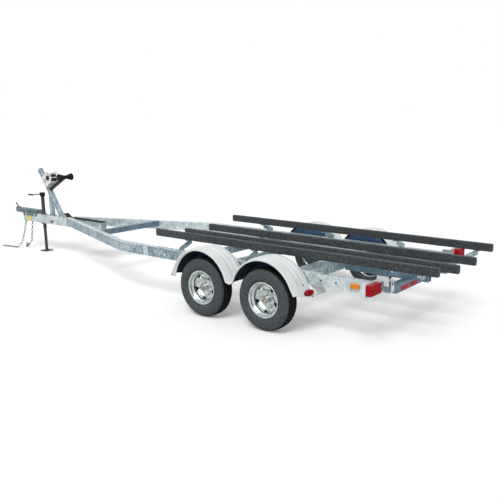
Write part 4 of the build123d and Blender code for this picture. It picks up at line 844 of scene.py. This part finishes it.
def flat_plate(outline, holes, thick, place, bm):
    """A plate with holes, its outline in its own X and Z and its thickness along Y."""
    curve = bpy.data.curves.new("plate", "CURVE")
    curve.dimensions = "2D"
    curve.fill_mode = "BOTH"
    curve.extrude = thick / 2 - PLATE_EDGE
    curve.bevel_depth = PLATE_EDGE
    for points in (outline, *holes):
        spline = curve.splines.new("POLY")
        spline.points.add(len(points) - 1)
        for knot, point in zip(spline.points, points):
            knot.co = (*point, 0, 1)
        spline.use_cyclic_u = True
    mesh = baked(linked("plate", curve))
    mesh.transform(place @ Matrix.Rotation(pi / 2, 4, "X"))
    bm.from_mesh(mesh)
    bpy.data.meshes.remove(mesh)


def oval(x, half_x, half_z):
    """A flat oval outline."""
    return [(x + half_x * cos(t), half_z * sin(t)) for t in turns_of(WINCH_HOLE_TURNS)]


def winch():
    """The winch: pierced side plates, spacers, gear, wound strap, shaft and crank."""
    place = mast_place(WINCH_UP, -MAST_W / 2)
    radius = WINCH_H / 2
    drum_x = radius - WINCH_L

    def across(x, y, z, facing=1):
        """A frame in the winch, given from the drum's middle, with its Z across."""
        return place @ place_on(Vector((drum_x + x, y, z)), (0, facing, 0))

    half_turn = spaced(pi / 2, 3 * pi / 2, WINCH_STEPS)
    outline = [(0, -radius), (0, radius)] + [(drum_x + radius * cos(t), radius * sin(t)) for t in half_turn]
    holes = [oval(*hole) for hole in WINCH_HOLES]
    bm = bmesh.new()
    for sign in (-1, 1):
        inside = place @ Matrix.Translation((0, sign * (WINCH_W - WINCH_T) / 2, 0))
        flat_plate(outline, holes, WINCH_T, inside, bm)
        lathe(bm, SHAFT_COVER, across(0, sign * WINCH_W / 2, 0, sign), index=1)
    box(bm, (-WINCH_T, -WINCH_W / 2, -radius), (0, WINCH_W / 2, radius), place)
    rod = ROD_TURNS, ((0, 0), (ROD_R, 0), (ROD_R, WINCH_W), (0, WINCH_W))
    for x, z in WINCH_RODS:
        lathe(bm, rod, across(x, -WINCH_W / 2, z))
        for sign in (-1, 1):
            bolt(bm, across(x, sign * WINCH_W / 2, z, sign), ROD_BOLT)
    piece("winch_frame_pierced", bm, ["zinc", "black_paint"], ["winch_frame"])

    bm = bmesh.new()
    axis = across(0, DRUM_Y, 0)
    strap = [(SHAFT_R, 0)]
    for i in range(WRAPS):
        h = WRAP_START + WRAP_STEP * i
        strap += [(WRAP_R + WRAP_UNEVEN * (i % 2), h), (WRAP_BULGE_R, h + WRAP_STEP / 2)]
    lathe(bm, (WRAP_TURNS, [*strap, (WRAP_R, WRAP_END), (SHAFT_R, STRAP_END)]), axis)
    lathe(bm, SHAFT, axis, index=1)
    teeth = (GEAR_TIP_R, GEAR_TIP_R, GEAR_ROOT_R, GEAR_ROOT_R) * GEAR_TEETH
    for h in GEAR_HS:
        rows = []
        for top in (h, h + GEAR_T):
            rows.append([axis @ polar(r, t, top) for r, t in zip(teeth, turns_of(len(teeth)))])
        grid(bm, rows, wrap_columns=True, capped=True, index=1)
    piece("winch_drum_wound", bm, ["strap", "bolt_zinc"], ["winch_drum"])
    softened("winch_crank", "zinc", CRANK_EDGE)


def bow_stop():
    """The hourglass bow stop in black rubber, with bolts on its pin."""
    low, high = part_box("bow_stop")
    half, end_r = high.y, (high.z - low.z) / 2
    lip = [(STOP_BORE, -half)] + [(end_r - less, rise - half) for less, rise in STOP_EDGE]
    profile = list(lip)
    for y in spaced(STOP_LIP - half, half - STOP_LIP, STOP_STEPS)[1:-1]:
        share = abs(y) / (half - STOP_LIP)
        profile.append((STOP_WAIST + (end_r - STOP_WAIST) * share ** STOP_POWER, y))
    profile += [(r, -y) for r, y in reversed(lip)]
    bm = bmesh.new()
    lathe(bm, (STOP_TURNS, profile), place_on(middle("bow_stop"), OUT))
    piece("bow_stop_moulded", bm, ["black_rubber"], ["bow_stop"], sharp=MOULDED_SHARP)
    bm = bmesh.new()
    for sign in SIDES.values():
        bolt(bm, place_on(middle("bow_stop") + Vector((0, sign * half, 0)), (0, sign, 0)), STOP_BOLT)
    piece("bow_stop_bolts", bm, ["bolt_zinc"])


def pin_knob():
    """The spring pin's black knob on the winch stand's upright."""
    bm = bmesh.new()
    lathe(bm, KNOB, place_on(at(KNOB_X, 0, KNOB_Z), (1, 0, 0)))
    piece("pin_knob", bm, ["black_paint"])


# Chains

def point_along(points, distance):
    """The point at a distance along a run of straight lines."""
    for a, b in zip(points, points[1:]):
        length = (b - a).length
        if distance <= length:
            return a.lerp(b, distance / length)
        distance -= length
    return points[-1]


def link_path():
    """A link's middle line, round at its ends, along its own X."""
    end_r, straight = (LINK_W - LINK_BAR) / 2, (LINK_L - LINK_W) / 2
    turns = turns_of(LINK_POINTS, 0.5)
    return [polar(end_r, t) + Vector((copysign(straight, cos(t)), 0, 0)) for t in turns]


def chains():
    """Both safety chains as round links, each turned a quarter from the last, and their eyes."""
    bm = bmesh.new()
    for route in CHAIN_ROUTES:
        points = [at(*point) for point in route]
        length = sum((b - a).length for a, b in zip(points, points[1:]))
        for i in range(int(length / LINK_STEP)):
            start, end = (point_along(points, k * LINK_STEP) for k in (i, i + 1))
            run = (end - start).normalized()
            side = Vector(OUT if abs(run.z) > abs(run.x) else UP)
            side = (side - run * side.dot(run)).normalized()
            across = run.cross(side)
            normal = (side + across if i % 2 == 0 else side - across).normalized()
            turn = Matrix((run, normal.cross(run), normal)).transposed()
            centre = (start + end) / 2
            sweep(bm, [centre + turn @ point for point in link_path()], LINK_BAR / 2, THIN_TURNS, closed=True)
        eye = points[0]
        box(bm, (eye.x - EYE_HALF_X, eye.y - EYE_HALF_Y, TONGUE_LOW.z - EYE_H),
            (eye.x + EYE_HALF_X, eye.y + EYE_HALF_Y, TONGUE_LOW.z))
    piece("safety_chains_linked", bm, ["chain_steel"], ["safety_chains"], sharp=SOFT_SHARP)


# Fasteners and small hardware

def u_bolt(bm, y):
    """A U-bolt round the rear cross-member with its saddle plate and nuts on top."""
    front_x, rear_x = REAR_HIGH.x + U_BOLT_R, REAR_LOW.x - U_BOLT_R
    mid, half = (front_x + rear_x) / 2, (front_x - rear_x) / 2
    top = CLAMP_HIGH + U_BOLT_REACH
    bend = [(mid + half * cos(t), CLAMP_LOW - U_BOLT_SAG * sin(t)) for t in spaced(0, pi, U_BOLT_STEPS)]
    sweep(bm, [Vector((x, y, z)) for x, z in [(front_x, top), *bend, (rear_x, top)]], U_BOLT_R)
    box(bm, (REAR_LOW.x - SADDLE_X, y - SADDLE_Y, CLAMP_HIGH),
        (REAR_HIGH.x + SADDLE_X, y + SADDLE_Y, CLAMP_HIGH + SADDLE_T))
    for x in (front_x, rear_x):
        bolt(bm, place_on(Vector((x, y, CLAMP_HIGH + SADDLE_T)), UP), U_BOLT_NUT)


def fasteners():
    """Bolts, nuts and U-bolts of the frame, its brackets and what they carry."""
    bm = bmesh.new()
    for sign in SIDES.values():
        for xs, ys, zs, axis, size in BOLTS.values():
            facing = (axis[0], sign * axis[1], axis[2])
            for spot in [at(x, sign * y, z) for x in xs for y in ys for z in zs]:
                bolt(bm, place_on(spot, facing), size)
        for y in CLAMP_YS:
            u_bolt(bm, sign * y)
        ys = sorted((sign * (CLAMP_YS[0] - CLAMP_LAP), sign * (CLAMP_YS[1] + CLAMP_LAP)))
        box(bm, (REAR_LOW.x - CLAMP_T, ys[0], CLAMP_LOW + CLAMP_LAP),
            (REAR_LOW.x, ys[1], CLAMP_LOW + CLAMP_LAP + CLAMP_H))
        for up in MAST_BOLT_UPS:
            bolt(bm, place_on(mast_place(up) @ Vector((0, sign * MAST_W / 2, 0)), (0, sign, 0)), MAST_BOLT)
    for turn in turns_of(JACK_BOLTS, 0.5):
        spot = at(JACK_X, 0, TONGUE_LOW.z - JACK_BOLT_FALL) + polar(JACK_BOLT_R, turn)
        bolt(bm, place_on(spot, DOWN), JACK_BOLT)
    piece("fasteners", bm, ["bolt_zinc"])


def dark_marks():
    """Open holes in rails, coupler and fenders' rear slopes, as dark discs of painted shade."""
    bm = bmesh.new()
    for sign in SIDES.values():
        marks = [(at(x, sign * RAIL_HIGH.y, RAIL_MID_Z), (0, sign, 0), RAIL_HOLE_R) for x in RAIL_HOLE_XS]
        x, rise, r = COUPLER_HOLE
        marks.append((at(x, sign * COUPLER_Y, TONGUE_HIGH.z + rise), (0, sign, 0), r))
        for y in FENDER_HOLE_YS:
            spot = at(-slope_x(FENDER_HOLE_Z), sign * y, FENDER_HOLE_Z)
            marks.append((spot, (-1, 0, LEAN), FENDER_HOLE_R))
        for spot, axis, r in marks:
            lathe(bm, (HOLE_TURNS, [(r * share, h) for share, h in HOLE_DISC]), place_on(spot, axis))
    piece("open_holes", bm, ["hole_shade"])


def rail_details():
    """Weld beads up the rails' outer faces, and a thin pale plate on each."""
    bm = bmesh.new()
    low, high = RAIL_LOW.z + WELD_R, RAIL_HIGH.z - WELD_R
    for side, sign in SIDES.items():
        mesh = frame["nodes"][f"rail_{side}"].data
        corners = [vert.co for vert in mesh.vertices]
        faces = BVHTree.FromPolygons(corners, [face.vertices for face in mesh.polygons])
        for x in WELD_XS:
            starts = [at(x, sign * FENDER_OUT, z) for z in (low, RAIL_MID_Z, high)]
            hits = [faces.ray_cast(start, Vector((0, -sign, 0)))[0] for start in starts]
            sweep(bm, hits, WELD_R, THIN_TURNS)
        ys = sorted((sign * (RAIL_HIGH.y - WELD_R), sign * (RAIL_HIGH.y + PALE_BAND_T)))
        box(bm, at(PALE_BAND_X0, ys[0], low), at(PALE_BAND_X1, ys[1], high), round_by=PALE_BAND_EDGE)
    piece("rail_details", bm, ["galvanised_painted_light"])


def end_cap(name, node, xs, low_z, look):
    """A plate that closes a tube's rear end, inside its walls and above a height."""
    low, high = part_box(node)
    bm = bmesh.new()
    box(bm, (low.x + xs[0], low.y + CAP_WALL, low_z),
        (low.x + xs[1], high.y - CAP_WALL, high.z - CAP_WALL), round_by=0)
    piece(name, bm, [look])


def marker_rims():
    """Black rubber surrounds of the red ovals on the fenders' rear slopes."""
    bm = bmesh.new()
    up, out = Vector((LEAN, 0, 1)).normalized(), Vector((-1, 0, LEAN)).normalized()
    for sign in SIDES.values():
        centre = at(-slope_x(OVAL_Z), sign * OVAL_Y, OVAL_Z) + out * OVAL_PROUD
        points = []
        for t in turns_of(OVAL_TURNS):
            points.append(centre + Vector((0, OVAL_HALF_Y * cos(t), 0)) + up * OVAL_HALF_Z * sin(t))
        sweep(bm, points, OVAL_BAR, THIN_TURNS, closed=True)
    piece("marker_rims", bm, ["black_rubber"])


# Everything together

STEELWORK = {
    "galvanised": (*CROSS_NODES, "axle_front", "axle_rear", "bunk_posts", "rear_braces", "fender_brackets"),
    # The tongue takes the lighter copy of galvanised as painted light.
    "galvanised_painted_light": ("tongue",),
    # Bunk beams and cross-members take the darker blue copy as painted shade.
    "galvanised_painted_shade": ("bunk_beams", "crossmember_front", "crossmember_rear"),
    "fender_white": ("tail_brackets",),
    "coupler_grey": ("coupler", "coupler_latch"),
    "jack_steel_and_shade": ("jack_tube", "jack_leg"),
    "black_paint": ("jack_head", "bow_stop_arm"),
    "red_lens": ("fender_markers",),
}


def at_nose(face):
    """Whether a face is ahead of the tongue's rear end."""
    return face.calc_center_median().x > TONGUE_LOW.x


def fore_side_shade(sign):
    """Tells a rail's outer side ahead of the axles' middle, which takes plain galvanised as painted shade."""
    return lambda face: sign * face.normal.y > OUTSIDE and face.calc_center_median().x > AXLE_X


for look, nodes in STEELWORK.items():
    for node in nodes:
        softened(node, look, BEAM_EDGE if node.startswith(("tongue", "crossmember")) else FINE_EDGE)
softened("tongue_plate", "yellow_plate", SIGN_EDGE)
softened("amber_markers", "amber_lens", FINE_EDGE, "amber_dark", at_nose)
# Rails: the lighter copy is painted light, plain galvanised on the outer side ahead of the axles is painted
# shade, and the pale edges are painted highlights.
for side, sign in SIDES.items():
    softened(f"rail_{side}", "galvanised_painted_light", RAIL_EDGE, "galvanised", fore_side_shade(sign), AXLE_X,
             "galvanised_painted_highlight")
# Mast and strut: pale edges as painted highlights.
for node in ("winch_mast", "winch_strut"):
    softened(node, "galvanised", MAST_EDGE, edge_highlight_look="galvanised_painted_highlight")

pressed_disc = disc_mesh()
for where in WHEELS:
    tyre(where)
    rim(where, pressed_disc)
    hub(where)
bpy.data.meshes.remove(pressed_disc)
for side in SIDES:
    fender(side)
for i, node in enumerate(BUNK_NODES):
    bunk(node, i * BUNK_SEED_STEP)
tongue_pad()
tail_lenses()
tape()
winch()
bow_stop()
chains()
fasteners()
dark_marks()
pin_knob()
marker_rims()
end_cap("tongue_cap", "tongue", TONGUE_CAP, TONGUE_LOW.z + CAP_WALL, "galvanised")
rail_details()
end_cap("coupler_cap", "coupler", COUPLER_CAP, TONGUE_HIGH.z, "coupler_grey")


# Floor, light and camera

def two_levels(tree, levels, socket):
    """Gives a socket a level for the light that falls on, and one for what is seen, also in reflections."""
    add, link = tree.nodes.new, tree.links.new
    path = add("ShaderNodeLightPath")
    seen = path.outputs["Is Camera Ray"]
    for ray in ("Is Glossy Ray", "Is Transmission Ray"):
        either = add("ShaderNodeMath")
        either.operation = "MAXIMUM"
        link(seen, either.inputs[0])
        link(path.outputs[ray], either.inputs[1])
        seen = either.outputs["Value"]
    spread(tree, seen, levels, socket)


def stage():
    """A pale floor, an even white surround and one soft sun from the trailer's left."""
    bm = bmesh.new()
    ends = (-FLOOR_HALF, FLOOR_HALF)
    grid(bm, [[(x, y, FLOOR_Z) for y in ends] for x in ends])
    pale = bpy.data.materials.new("floor_pale")
    pale.use_nodes = True
    shader = pale.node_tree.nodes["Principled BSDF"].inputs
    shader["Roughness"].default_value = FLOOR_ROUGH
    shader["Specular IOR Level"].default_value = 0
    shader["Emission Color"].default_value = (1, 1, 1, 1)
    two_levels(pale.node_tree, FLOOR_LEVELS, shader["Base Color"])
    two_levels(pale.node_tree, FLOOR_GLOW, shader["Emission Strength"])
    floor = linked("floor", as_mesh(bm, "floor"))
    floor.data.materials.append(pale)

    world = bpy.data.worlds.new("surround")
    bpy.context.scene.world = world
    world.use_nodes = True
    surround = world.node_tree.nodes["Background"].inputs
    surround["Color"].default_value = (1, 1, 1, 1)
    two_levels(world.node_tree, WORLD_LEVELS, surround["Strength"])

    sun = bpy.data.lights.new("sun", "SUN")
    sun.energy = SUN_ENERGY
    sun.angle = SUN_ANGLE
    linked("sun", sun).rotation_euler = SUN_FROM.to_track_quat("Z", "Y").to_euler()


def camera():
    """The photograph's view: its direction, distance, focal length and framing."""
    lens = bpy.data.cameras.new("camera")
    lens.sensor_width = SENSOR
    lens.lens = CAMERA_F_PX * SENSOR / FRAME_PX
    lens.shift_x = (FRAME_PX / 2 - CAMERA_CX) / FRAME_PX
    lens.shift_y = (CAMERA_CY - FRAME_PX / 2) / FRAME_PX
    lens.clip_end = CAMERA_REACH
    holder = linked("camera", lens)
    place = Matrix.Translation(at(0, 0, CAMERA_TARGET_Z))
    for turn, axis in ((CAMERA_AZ, "Z"), (pi / 2 - CAMERA_EL, "X"), (CAMERA_ROLL, "Z")):
        place = place @ Matrix.Rotation(turn, 4, axis)
    holder.matrix_world = place @ Matrix.Translation((0, 0, CAMERA_DIST))
    bpy.context.scene.camera = holder


stage()
camera()
bpy.context.scene.view_settings.view_transform = "Standard"
